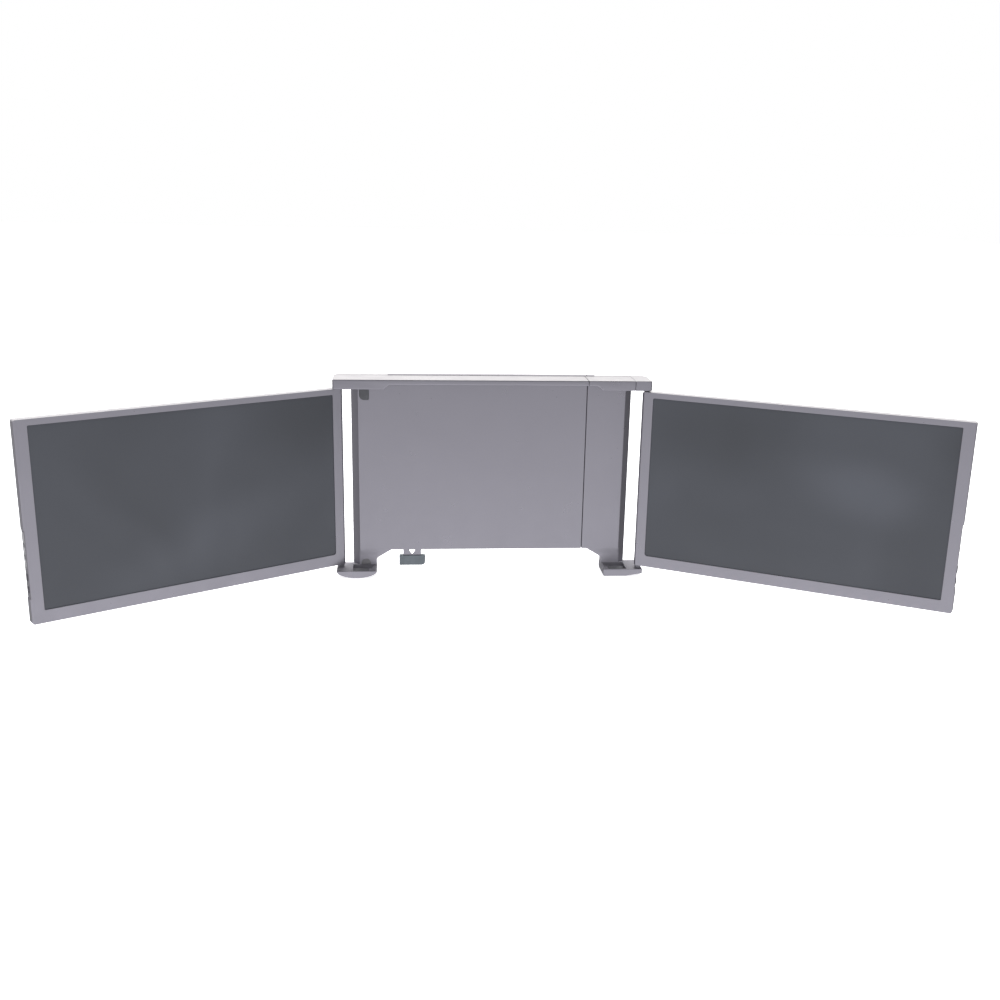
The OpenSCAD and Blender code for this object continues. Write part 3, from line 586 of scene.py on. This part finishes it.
def finish(name):
    """A material by name, made the first time it is asked for."""
    if name not in bpy.data.materials:
        rubber = settings().rubber
        makers = {
            "satin_paint": lambda: paint_finish("satin_paint"),
            "shoe_paint": lambda: paint_finish("shoe_paint", SHOE_MATT_AND_PAINTED_SHADE),
            "plate_paint": lambda: paint_finish("plate_paint", LEG_MATT_AND_PAINTED_LIGHT),
            "anti_glare_film": film_finish,
            "grip_rubber": lambda: rubber_finish("grip_rubber", rubber.grip),
            "pad_rubber": lambda: rubber_finish("pad_rubber", rubber.pad),
            "clear_bumper": lambda: rubber_finish("clear_bumper", rubber.bumper),
            "mat_silicone": lambda: rubber_finish("mat_silicone", rubber.mat),
            "dark_plastic": lambda: plastic_finish("dark_plastic", PLASTIC_BLACK),
            "key_plastic": lambda: plastic_finish("key_plastic", KEY_GREY),
            "drawn_steel": steel_finish,
            "blackened_steel": screw_finish,
            "contact_gold": gold_finish,
            "solder_mask": board_finish,
            "light_guide": light_guide_finish,
            "pale_floor": floor_finish,
        }
        makers[name]()
    return bpy.data.materials[name]


# ---- Mesh helpers ------------------------------------------------------------------------------

def new_piece(name, mesh, material):
    """Puts a mesh in the scene at the origin with one material."""
    mesh.name = name
    mesh.materials.clear()
    mesh.materials.append(finish(material))
    piece = bpy.data.objects.new(name, mesh)
    bpy.context.scene.collection.objects.link(piece)
    return piece


def plain_mesh(piece):
    """The piece's mesh with every modifier in it."""
    depsgraph = bpy.context.evaluated_depsgraph_get()
    depsgraph.update()
    return bpy.data.meshes.new_from_object(piece.evaluated_get(depsgraph),
                                           preserve_all_data_layers=True, depsgraph=depsgraph)


def settle(piece):
    """Takes the piece's modifiers into its mesh and removes them."""
    mesh = plain_mesh(piece)
    mesh.name = piece.name
    piece.modifiers.clear()
    piece.data = mesh


def inward(loop):
    """The direction from a face's edge into the face."""
    way = loop.link_loop_next.vert.co - loop.vert.co
    return loop.face.normal.cross(way).normalized()


def nearest(point, start, end):
    """The point of a straight edge that is nearest to a point."""
    along = end - start
    part = (point - start).dot(along) / max(along.length_squared, MERGE_DISTANCE ** 2)
    return start + along * min(max(part, 0), 1)


def room_beside(loop):
    """How far a face reaches from one of its edges before it meets an edge that faces it."""
    start, end = loop.vert.co, loop.link_loop_next.vert.co
    away = inward(loop)
    room = FAR
    for other in loop.face.loops:
        if away.dot(inward(other)) > OPPOSED:
            continue
        low, high = other.vert.co, other.link_loop_next.vert.co
        for offset in (low - nearest(low, start, end), high - nearest(high, start, end),
                       nearest(start, low, high) - start, nearest(end, low, high) - end):
            depth = offset.dot(away)
            if depth > max(FACING_SHARE * offset.length, MERGE_DISTANCE):
                room = min(room, depth)
    return room


def even_runs(sizes):
    """Gives every run of edges the least size that one of them has."""
    evened = {}
    for first in sorted(sizes, key=sizes.get):
        if first in evened:
            continue
        evened[first] = sizes[first]
        run = [first]
        for edge in run:
            for vert in edge.verts:
                way = edge.other_vert(vert).co - vert.co
                for other in vert.link_edges:
                    if other in evened or other not in sizes:
                        continue
                    if way.angle(vert.co - other.other_vert(vert).co, math.pi) < CORNER_ANGLE:
                        evened[other] = sizes[first]
                        run.append(other)
    return evened


def merged_mesh(node, radius, seams):
    """A copy of a CAD node's shape, merged into whole faces and marked where corners round."""
    source = frame["nodes"][node].data
    mesh = bpy.data.meshes.new(node)
    mesh.from_pydata([v.co for v in source.vertices], [], [f.vertices for f in source.polygons])
    shape = bmesh.new()
    shape.from_mesh(mesh)
    bmesh.ops.remove_doubles(shape, verts=shape.verts, dist=MERGE_DISTANCE)
    bmesh.ops.dissolve_limit(shape, angle_limit=FLAT_ANGLE, verts=shape.verts, edges=shape.edges)
    weight = shape.edges.layers.float.new("bevel_weight_edge")
    sizes = {}
    for edge in shape.edges:
        sharpness = (edge.calc_face_angle(0) - CORNER_ANGLE) / CORNER_ANGLE
        if sharpness <= 0 or not edge.is_convex:
            continue
        size = radius * min(sharpness, 1)
        for way, reach in seams:
            if all(abs(vert.co.dot(way) - reach) < SEAM_REACH for vert in edge.verts):
                size = min(size, SEAM_RADIUS)
        room = min(room_beside(loop) for loop in edge.link_loops)
        sizes[edge] = min(size, room / ROOM_PER_RADIUS)
    for edge, size in even_runs(sizes).items():
        edge[weight] = size / radius
    shape.to_mesh(mesh)
    shape.free()
    return mesh


def shade_softly(mesh):
    """Sets normals that leave flat faces flat and run smoothly over the rounded ones."""
    faces = [(face.normal.copy(), face.area) for face in mesh.polygons]
    around = [[] for _ in mesh.vertices]
    for face in mesh.polygons:
        for vert in face.vertices:
            around[vert].append(face.index)
    normals = [None] * len(mesh.loops)
    for face in mesh.polygons:
        own = faces[face.index][0]
        for loop, vert in zip(face.loop_indices, face.vertices):
            total = Vector()
            for other in around[vert]:
                normal, area = faces[other]
                if own.dot(normal) > SMOOTH_SHARE:
                    total += normal * area
            normals[loop] = total.normalized()
    mesh.shade_smooth()
    mesh.normals_split_custom_set(normals)


def far_side(node, way):
    """The plane at a node's furthest reach in one direction."""
    return way, max(vert.co.dot(way) for vert in frame["nodes"][node].data.vertices)


def softened(name, node, radius_mm, material, seams=()):
    """Replaces a CAD node by a copy whose corners are rounded, but hardly at its seams."""
    look = settings().paint
    radius = radius_mm * MM * look.corner
    piece = new_piece(name, merged_mesh(node, radius, seams), material)
    bevel = piece.modifiers.new("corners", "BEVEL")
    bevel.limit_method = "WEIGHT"
    bevel.width = radius
    bevel.segments = look.corner_steps
    bevel.use_clamp_overlap = False
    bevel.miter_outer = "MITER_SHARP"
    settle(piece)
    shade_softly(piece.data)
    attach(piece, frame["nodes"][node]["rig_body"])
    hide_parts(node)


def dress(node, material):
    """Gives a CAD node that stays in view its material."""
    mesh = frame["nodes"][node].data
    mesh.materials.clear()
    mesh.materials.append(finish(material))


def islands(node):
    """The separate solids in a CAD node, each as a list of its points."""
    shape = bmesh.new()
    shape.from_mesh(frame["nodes"][node].data)
    bmesh.ops.remove_doubles(shape, verts=shape.verts, dist=MERGE_DISTANCE)
    left_over = set(shape.verts)
    found = []
    while left_over:
        reached = [left_over.pop()]
        for vert in reached:
            for edge in vert.link_edges:
                other = edge.other_vert(vert)
                if other in left_over:
                    left_over.remove(other)
                    reached.append(other)
        found.append([vert.co.copy() for vert in reached])
    shape.free()
    return sorted(found, key=lambda points: tuple(round(c, 5) for c in points_middle(points)))


def points_middle(points):
    """The middle of the box round some points."""
    return [(min(p[i] for p in points) + max(p[i] for p in points)) / 2 for i in range(3)]


def span(points, axis):
    """The lowest and the highest place of a solid along an axis."""
    places = [p.dot(axis) for p in points]
    return min(places), max(places)


def outer_end(points, axis):
    """The middle of a solid's outermost end along an axis."""
    reach = span(points, axis)[1]
    end = [p for p in points if reach - p.dot(axis) < END_REACH]
    middle = Vector(points_middle(end))
    return middle + axis * (reach - middle.dot(axis))


def facing(axis, up):
    """The turn that takes +Z to axis, with X as near as it can be to up."""
    out = axis.normalized()
    side = (up - out * up.dot(out)).normalized()
    return Matrix((side, out.cross(side), out)).transposed()


def screen_axes(side):
    """From a screen's hinge to its outer end, and out of its back."""
    press = next(j for j in frame["joints"] if j["name"] == side + "_power_press")
    along = -Vector(press["axis"]).normalized()
    across = UP.cross(along)
    return along, across if across.y > 0 else -across


# ---- Repeats with Geometry Nodes ---------------------------------------------------------------

def repeat_tree():
    """A node tree that sets a small solid on every point, each turned about its own axis."""
    name = "Repeat on points"
    if name in bpy.data.node_groups:
        return bpy.data.node_groups[name]
    tree = bpy.data.node_groups.new(name, "GeometryNodeTree")
    interface = tree.interface
    for label, kind in (
        ("Points", "NodeSocketGeometry"), ("Solid", "NodeSocketObject"),
        ("Facing", "NodeSocketVector"), ("Scale", "NodeSocketFloat"),
        ("Loose turn", "NodeSocketFloat"), ("Seed", "NodeSocketInt"),
        ("Finish", "NodeSocketMaterial"),
    ):
        interface.new_socket(label, in_out="INPUT", socket_type=kind)
    interface.new_socket("Solids", in_out="OUTPUT", socket_type="NodeSocketGeometry")
    nodes, links = tree.nodes, tree.links
    given = nodes.new("NodeGroupInput").outputs
    solid = nodes.new("GeometryNodeObjectInfo")
    place = nodes.new("GeometryNodeInstanceOnPoints")
    chance = nodes.new("FunctionNodeRandomValue")
    angle = nodes.new("ShaderNodeCombineXYZ")
    spin = nodes.new("GeometryNodeRotateInstances")
    whole = nodes.new("GeometryNodeRealizeInstances")
    colour = nodes.new("GeometryNodeSetMaterial")
    result = nodes.new("NodeGroupOutput")
    chance.data_type = "FLOAT"
    spin.inputs["Local Space"].default_value = True
    for source, target in (
        (given["Points"], place.inputs["Points"]),
        (given["Solid"], solid.inputs["Object"]),
        (solid.outputs["Geometry"], place.inputs["Instance"]),
        (given["Facing"], place.inputs["Rotation"]),
        (given["Scale"], place.inputs["Scale"]),
        (given["Loose turn"], chance.inputs[3]),
        (given["Seed"], chance.inputs["Seed"]),
        (chance.outputs[1], angle.inputs["Z"]),
        (place.outputs["Instances"], spin.inputs["Instances"]),
        (angle.outputs["Vector"], spin.inputs["Rotation"]),
        (spin.outputs["Instances"], whole.inputs["Geometry"]),
        (whole.outputs["Geometry"], colour.inputs["Geometry"]),
        (given["Finish"], colour.inputs["Material"]),
        (colour.outputs["Geometry"], result.inputs["Solids"]),
    ):
        links.new(source, target)
    return tree


def repeated(name, points, solid, facing_turn, material, loose_turn=0.0):
    """A piece made of one solid on each point."""
    mesh = bpy.data.meshes.new(name)
    mesh.from_pydata([tuple(p) for p in points], [], [])
    piece = new_piece(name, mesh, material)
    modifier = piece.modifiers.new("repeat", "NODES")
    modifier.node_group = repeat_tree()
    values = {
        "Solid": solid, "Facing": tuple(facing_turn.to_euler()), "Scale": 1.0,
        "Loose turn": loose_turn, "Seed": settings().fastener.spin_seed,
        "Finish": finish(material),
    }
    for item in modifier.node_group.interface.items_tree:
        if item.item_type == "SOCKET" and item.name in values:
            modifier[item.identifier] = values[item.name]
    settle(piece)
    return piece


# ---- Screws ------------------------------------------------------------------------------------

def lathe(profile, steps):
    """A closed solid turned about Z from a profile of [radius, height], the ends on the axis."""
    shape = bmesh.new()
    rings = []
    for radius, height in profile:
        if radius == 0:
            rings.append([shape.verts.new((0, 0, height))])
            continue
        rings.append([
            shape.verts.new((radius * math.cos(2 * math.pi * i / steps),
                             radius * math.sin(2 * math.pi * i / steps), height))
            for i in range(steps)
        ])
    for lower, upper in zip(rings, rings[1:]):
        for i in range(steps):
            j = (i + 1) % steps
            corners = [lower[i % len(lower)], lower[j % len(lower)],
                       upper[j % len(upper)], upper[i % len(upper)]]
            shape.faces.new(list(dict.fromkeys(corners)))
    bmesh.ops.recalc_face_normals(shape, faces=shape.faces)
    mesh = bpy.data.meshes.new("turned")
    shape.to_mesh(mesh)
    shape.free()
    return mesh


def cross_cutter(width, length, depth):
    """A tapered cross whose top stands just above Z = 0."""
    shape = bmesh.new()
    for turn in (0, math.pi / 2):
        made = bmesh.ops.create_cube(shape, size=1)["verts"]
        for vert in made:
            taper, height = (1, RECESS_RISE) if vert.co.z > 0 else (RECESS_TAPER, -depth)
            vert.co = Vector((vert.co.x * length * taper, vert.co.y * width * taper, height))
        bmesh.ops.rotate(shape, verts=made, matrix=Matrix.Rotation(turn, 3, "Z"))
    mesh = bpy.data.meshes.new("cross")
    shape.to_mesh(mesh)
    shape.free()
    return mesh


def pan_screw(head_radius, head_height, shank_radius, length):
    """A pan-head screw with a cross recess, head up and its top at Z = 0."""
    rim = head_height * RIM_SHARE
    profile = [
        (0, 0), *((head_radius * out, -rim * down) for out, down in HEAD_CURVE),
        (head_radius, -head_height), (shank_radius, -head_height),
        (shank_radius, -length + shank_radius / 2), (shank_radius / 2, -length), (0, -length),
    ]
    screw = new_piece("screw_blank", lathe(profile, settings().fastener.head_steps),
                      "blackened_steel")
    width, reach, depth = RECESS_SHARES
    cutter = new_piece(
        "cross_blank",
        cross_cutter(head_radius * width, head_radius * reach, head_height * depth),
        "blackened_steel")
    cut = screw.modifiers.new("recess", "BOOLEAN")
    cut.object = cutter
    cut.operation = "DIFFERENCE"
    cut.solver = "EXACT"
    cut.use_self = True
    settle(screw)
    screw.data.set_sharp_from_angle(angle=CORNER_ANGLE)
    bpy.data.objects.remove(cutter)
    return screw


def screw_set(name, node, axis, head_radius, head_height, shank_radius, slot_turn):
    """Replaces a node of screws, each left at its own turn."""
    solids = islands(node)
    seats = [outer_end(points, axis) for points in solids]
    depths = [high - low for low, high in (span(points, axis) for points in solids)]
    blank = pan_screw(head_radius, head_height, shank_radius, min(depths))
    piece = repeated(name, seats, blank, facing(axis, slot_turn), "blackened_steel",
                     loose_turn=math.pi)
    bpy.data.objects.remove(blank)
    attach(piece, frame["nodes"][node]["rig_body"])
    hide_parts(node)


# ---- Ports -------------------------------------------------------------------------------------

def rounded_outline(width, height, corner, steps):
    """A rectangle with round corners in the YZ plane, width along Z and height along Y."""
    points = []
    for turn, (y, z) in enumerate(((1, 1), (-1, 1), (-1, -1), (1, -1))):
        for i in range(steps + 1):
            angle = math.pi / 2 * (turn + i / steps)
            points.append((y * (height / 2 - corner) + corner * math.cos(angle),
                           z * (width / 2 - corner) + corner * math.sin(angle)))
    return points


def add_rings(shape, rings):
    """Joins outlines of equal count, given as (X, points), into one closed solid."""
    made = [[shape.verts.new((x, y, z)) for y, z in points] for x, points in rings]
    for lower, upper in zip(made, made[1:]):
        for i in range(len(lower)):
            j = (i + 1) % len(lower)
            shape.faces.new((lower[i], lower[j], upper[j], upper[i]))
    shape.faces.new(made[0])
    shape.faces.new(made[-1])


def placed_mesh(name, shape, turn, middle):
    """The shape turned and set at its place, as a mesh with its faces outward."""
    bmesh.ops.recalc_face_normals(shape, faces=shape.faces)
    shape.transform(Matrix.Translation(middle) @ turn.to_4x4())
    mesh = bpy.data.meshes.new(name)
    shape.to_mesh(mesh)
    shape.free()
    return mesh


def port_solids(width, height, depth):
    """A port's drawn shell with a rolled lip, and the tongue in it; its mouth at X = 0."""
    look = settings().port
    wide = width > look.wide_from
    corner = VIDEO_CORNER if wide else height / 2 - ROUND_END_GAP
    reach = width * (VIDEO_TONGUE if wide else DATA_TONGUE)

    def outline(inset):
        return rounded_outline(width - 2 * inset, height - 2 * inset,
                               max(corner - inset, LEAST_CORNER), look.corner_steps)

    def blade(inset):
        return rounded_outline(reach - 2 * inset, look.tongue - 2 * inset, TONGUE_CORNER,
                               TONGUE_STEPS)

    shell, tongue = bmesh.new(), bmesh.new()
    add_rings(shell, [(-look.well, outline(look.wall)),
                      *((-down * MM, outline(look.wall * share)) for down, share in LIP),
                      (-depth, outline(0))])
    add_rings(tongue, [(-look.well - TONGUE_ROOT, blade(0)), (-TONGUE_EDGE, blade(0)),
                       (-TONGUE_TIP, blade(TONGUE_CHAMFER))])
    count = look.wide_contacts if wide else look.contacts
    pitch = reach * CONTACT_COVER / count
    places = [Vector((-CONTACT_DEPTH, 0, (i - (count - 1) / 2) * pitch)) for i in range(count)]
    return shell, tongue, places, pitch


def contact_blank(pitch):
    """One contact that shows on both faces of a tongue, thin along X and long along Z."""
    thick = settings().port.tongue + CONTACT_RISE
    ends = ((-1, CONTACT_TRIM), (-CONTACT_FLAT, 0), (CONTACT_FLAT, 0), (1, CONTACT_TRIM))
    shape = bmesh.new()
    add_rings(shape, [
        (x * pitch * CONTACT_HALF_SHARE,
         rounded_outline(CONTACT_LENGTH - trim, thick - trim, CONTACT_CORNER, CONTACT_STEPS))
        for x, trim in ends])
    return new_piece("contact_blank",
                     placed_mesh("contact", shape, Matrix.Identity(3), Vector()), "contact_gold")


def joined(name, meshes, material):
    """One piece from several meshes."""
    shape = bmesh.new()
    for mesh in meshes:
        shape.from_mesh(mesh)
    whole = bpy.data.meshes.new(name)
    shape.to_mesh(whole)
    shape.free()
    return new_piece(name, whole, material)


def ports(side):
    """Replaces a screen's port sockets by shells, tongues and contacts."""
    node = side + "_port_sockets"
    along, across = screen_axes(side)
    turn = Matrix((along, across, along.cross(across))).transposed()
    shells, tongues, contacts = [], [], []
    for count, points in enumerate(islands(node)):
        spans = [span(points, axis) for axis in (along, across, UP)]
        low, high = (Vector(ends) for ends in zip(*spans))
        size = high - low
        middle = along * high.x + across * (low.y + high.y) / 2 + UP * (low.z + high.z) / 2
        shell, tongue, places, pitch = port_solids(size.z, size.y, size.x)
        shells.append(placed_mesh("shell", shell, turn, middle))
        tongues.append(placed_mesh("tongue", tongue, turn, middle))
        blank = contact_blank(pitch)
        contacts.append(repeated(f"contacts_{count}", [middle + turn @ p for p in places], blank,
                                 facing(along, across), "contact_gold"))
        bpy.data.objects.remove(blank)
    pieces = (
        (joined(side + "_port_shells", shells, "drawn_steel"), node),
        (joined(side + "_port_tongues", tongues, "dark_plastic"), side + "_hinge_washers"),
        (joined(side + "_port_contacts", [c.data for c in contacts], "contact_gold"), node),
    )
    for piece in contacts:
        bpy.data.objects.remove(piece)
    for piece, like in pieces:
        piece.data.set_sharp_from_angle(angle=CORNER_ANGLE)
        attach(piece, frame["nodes"][node]["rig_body"])
    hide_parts(node)


# ---- Operators ---------------------------------------------------------------------------------

class EXTENDER_OT_camera(bpy.types.Operator):
    """Set up the camera that looks at the clamp and both displays from the user's side"""

    bl_idname = "extender.camera"
    bl_label = "Camera"

    def execute(self, context):
        view = settings().stage
        turn = Matrix.Rotation(view.yaw, 3, "Z")
        ahead = turn @ Vector((0, math.cos(view.pitch), -math.sin(view.pitch)))
        above = turn @ Vector((0, math.sin(view.pitch), math.cos(view.pitch)))
        aside = ahead.cross(above)
        cos, sin = math.cos(view.roll), math.sin(view.roll)
        right_hand, upward = cos * aside + sin * above, cos * above - sin * aside
        data = bpy.data.cameras.new("camera")
        data.sensor_width = SENSOR_WIDTH
        data.lens = view.lens
        data.shift_x, data.shift_y = CAMERA_SHIFT
        camera = bpy.data.objects.new("camera", data)
        place = Matrix((right_hand, upward, -ahead)).transposed().to_4x4()
        place.translation = Vector(view.eye)
        camera.matrix_world = place
        context.scene.collection.objects.link(camera)
        context.scene.camera = camera
        return {"FINISHED"}


def camera_only(piece):
    """Leaves the piece in view, and out of the light that falls on the object."""
    piece.visible_diffuse = False
    piece.visible_glossy = False
    piece.visible_shadow = False


def room_world(stage):
    """A room that is bright behind the object and before it, and dark at its sides and top."""
    world = bpy.data.worlds.new("room")
    world.use_nodes = True
    tree = world.node_tree
    nodes, links = tree.nodes, tree.links
    direction = nodes.new("ShaderNodeTexCoord").outputs["Generated"]

    def parts(source):
        node = nodes.new("ShaderNodeSeparateXYZ")
        links.new(source, node.inputs[0])
        return node.outputs

    def ramp(source, start, end, low, high):
        node = nodes.new("ShaderNodeMapRange")
        node.interpolation_type = "SMOOTHSTEP"
        links.new(source, node.inputs["Value"])
        for name, value in (("From Min", start), ("From Max", end),
                            ("To Min", low), ("To Max", high)):
            node.inputs[name].default_value = value
        return node.outputs["Result"]

    def maths(operation, first, second):
        node = nodes.new("ShaderNodeMath")
        node.operation = operation
        links.new(first, node.inputs[0])
        links.new(second, node.inputs[1])
        return node.outputs[0]

    def product(*levels):
        whole = levels[0]
        for level in levels[1:]:
            whole = maths("MULTIPLY", whole, level)
        return whole

    across, ahead, up = (parts(direction)[axis] for axis in "XYZ")
    level = nodes.new("ShaderNodeVectorMath")
    level.operation = "MULTIPLY"
    links.new(direction, level.inputs[0])
    level.inputs[1].default_value = (1, 1, 0)
    turned = nodes.new("ShaderNodeVectorMath")
    turned.operation = "NORMALIZE"
    links.new(level.outputs["Vector"], turned.inputs[0])
    back_part = parts(turned.outputs["Vector"])["Y"]
    back = product(ramp(back_part, *BACK_REACH, 0, stage.back_glow),
                   ramp(up, *BACK_FOOT), ramp(up, *BACK_TOP))
    front = product(ramp(ahead, *FRONT_REACH, 0, stage.front_glow), ramp(up, *FRONT_TOP),
                    ramp(up, *FRONT_FALL), ramp(ahead, *FRONT_MIDDLE))
    side_light = (share * stage.side_glow for share in SIDE_SHARES)
    sides = product(ramp(across, *SIDE_SPREAD, *side_light), ramp(ahead, *SIDE_REACH))
    room = nodes.new("ShaderNodeAddShader")
    for place, (strength, colour) in enumerate((
            (maths("ADD", front, sides), COOL_LIGHT), (back, WARM_LIGHT))):
        light = nodes.new("ShaderNodeBackground")
        light.inputs["Color"].default_value = colour
        links.new(strength, light.inputs["Strength"])
        links.new(light.outputs[0], room.inputs[place])
    white = nodes["Background"]
    white.inputs["Color"].default_value = (1, 1, 1, 1)
    white.inputs["Strength"].default_value = 1
    chooser = nodes.new("ShaderNodeMixShader")
    links.new(nodes.new("ShaderNodeLightPath").outputs["Is Camera Ray"], chooser.inputs[0])
    links.new(room.outputs[0], chooser.inputs[1])
    links.new(white.outputs[0], chooser.inputs[2])
    links.new(chooser.outputs[0], nodes["World Output"].inputs["Surface"])
    return world


class EXTENDER_OT_stage(bpy.types.Operator):
    """Set up the pale floor, the wide light from overhead and the room around the object"""

    bl_idname = "extender.stage"
    bl_label = "Stage"

    def execute(self, context):
        stage = settings().stage
        floor_z = cad_low.z - FLOOR_GAP
        reach = stage.floor_reach
        mesh = bpy.data.meshes.new("floor")
        mesh.from_pydata([(-reach, -reach, floor_z), (reach, -reach, floor_z),
                          (reach, 2 * reach, floor_z), (-reach, 2 * reach, floor_z)],
                         [], [(0, 1, 2, 3)])
        floor = new_piece("floor", mesh, "pale_floor")
        camera_only(floor)

        data = bpy.data.lights.new("overhead", "SUN")
        data.energy = stage.top_light
        data.angle = stage.top_spread
        lamp = bpy.data.objects.new("overhead", data)
        lamp.rotation_euler = (LAMP_TILT, 0, 0)
        lamp.visible_glossy = False
        context.scene.collection.objects.link(lamp)

        context.scene.world = room_world(stage)
        context.scene.view_settings.view_transform = "Standard"
        context.scene.view_settings.look = "None"
        return {"FINISHED"}


class EXTENDER_OT_clamp(bpy.types.Operator):
    """Round and paint the plates, the back panels, the bar and the shoes"""

    bl_idname = "extender.clamp"
    bl_label = "Clamp"

    def execute(self, context):
        for name, node, radius, paint, sides in CLAMP_SHELLS:
            ways = [(side, SIDE_WAYS[side]) for side in sides.split()]
            softened(name, node, radius, paint, [
                (way, 0) if side == "0y" else far_side(node, way) for side, way in ways])
        for node in ("carriage_sleeve", "left_hinge_washers", "right_hinge_washers"):
            dress(node, "dark_plastic")
        for node in METAL_NODES:
            dress(node, "drawn_steel")
        dress("bar_lining", "pad_rubber")
        return {"FINISHED"}


class EXTENDER_OT_screens(bpy.types.Operator):
    """Round and paint both screens' frames and back cases, and finish what they hold"""

    bl_idname = "extender.screens"
    bl_label = "Screens"

    def execute(self, context):
        for side in SIDES:
            back = screen_axes(side)[1]
            for name, node, radius, way in (("front_frame", "bezel", 0.6, back),
                                            ("back_case", "rear_shell", 0.8, -back)):
                softened(f"{side}_{name}", f"{side}_{node}", radius, "satin_paint",
                         [far_side(f"{side}_{node}", way)])
            dress(side + "_display_panel", "anti_glare_film")
            dress(side + "_backlight", "light_guide")
            dress(side + "_driver_board", "solder_mask")
            for key in ("power", "menu"):
                softened(f"{side}_{key}_key", f"{side}_{key}_button", 0.2, "key_plastic")
        return {"FINISHED"}


class EXTENDER_OT_ports(bpy.types.Operator):
    """Make the ports' shells, tongues and contacts in both screens' outer ends"""

    bl_idname = "extender.ports"
    bl_label = "Ports"

    def execute(self, context):
        for side in SIDES:
            ports(side)
        return {"FINISHED"}


class EXTENDER_OT_stand(bpy.types.Operator):
    """Round and paint the folding stand"""

    bl_idname = "extender.stand"
    bl_label = "Stand"

    def execute(self, context):
        softened("stand_leg", "kickstand_leg", 0.3, "satin_paint")
        return {"FINISHED"}


class EXTENDER_OT_rubber(bpy.types.Operator):
    """Make the stand's grip, the lid pads, the shoes' mats and their soles"""

    bl_idname = "extender.rubber"
    bl_label = "Rubber pads"

    def execute(self, context):
        for name, node, radius, material in RUBBER_PARTS:
            softened(name, node, radius, material)
        return {"FINISHED"}


class EXTENDER_OT_screws(bpy.types.Operator):
    """Set the screws of the back panels, the shoes and the screens' cases"""

    bl_idname = "extender.screws"
    bl_label = "Screws"

    def execute(self, context):
        for name, node in (("back_panel_screws", "rear_cover_screws"),
                           ("sliding_panel_screws", "carriage_screws")):
            screw_set(name, node, BACK, *LARGE_SCREW, UP)
        for side in SIDES:
            screw_set(side + "_shoe_screws", side + "_foot_screws", -UP, *LARGE_SCREW, BACK)
            screw_set(side + "_case_screws", side + "_shell_screws", screen_axes(side)[1],
                      *SMALL_SCREW, UP)
        return {"FINISHED"}


class EXTENDER_PT_panel(bpy.types.Panel):
    """Sizes, colours and steps of the screen extender"""

    bl_idname = "EXTENDER_PT_panel"
    bl_label = "Screen Extender"
    bl_space_type = "VIEW_3D"
    bl_region_type = "UI"
    bl_category = "Extender"

    def draw(self, context):
        layout = self.layout
        look = context.scene.extender
        for group in (look.paint, look.display, look.rubber, look.port, look.fastener,
                      look.stage):
            box = layout.box()
            for name in group.bl_rna.properties.keys():
                if name not in ("rna_type", "name"):
                    box.prop(group, name)
        for operator in STEPS:
            layout.operator(operator.bl_idname)


STEPS = (
    EXTENDER_OT_camera,
    EXTENDER_OT_stage,
    EXTENDER_OT_clamp,
    EXTENDER_OT_screens,
    EXTENDER_OT_ports,
    EXTENDER_OT_stand,
    EXTENDER_OT_rubber,
    EXTENDER_OT_screws,
)
GROUPS = (StageSettings, PaintSettings, DisplaySettings, RubberSettings, PortSettings,
          FastenerSettings, ExtenderSettings)


def register():
    for made in (*GROUPS, *STEPS, EXTENDER_PT_panel):
        bpy.utils.register_class(made)
    bpy.types.Scene.extender = PointerProperty(type=ExtenderSettings)


def unregister():
    del bpy.types.Scene.extender
    for made in reversed((*GROUPS, *STEPS, EXTENDER_PT_panel)):
        bpy.utils.unregister_class(made)


def main():
    register()
    for step in STEPS:
        getattr(bpy.ops.extender, step.bl_idname.split(".")[1])()


if __name__ == "__main__":
    main()
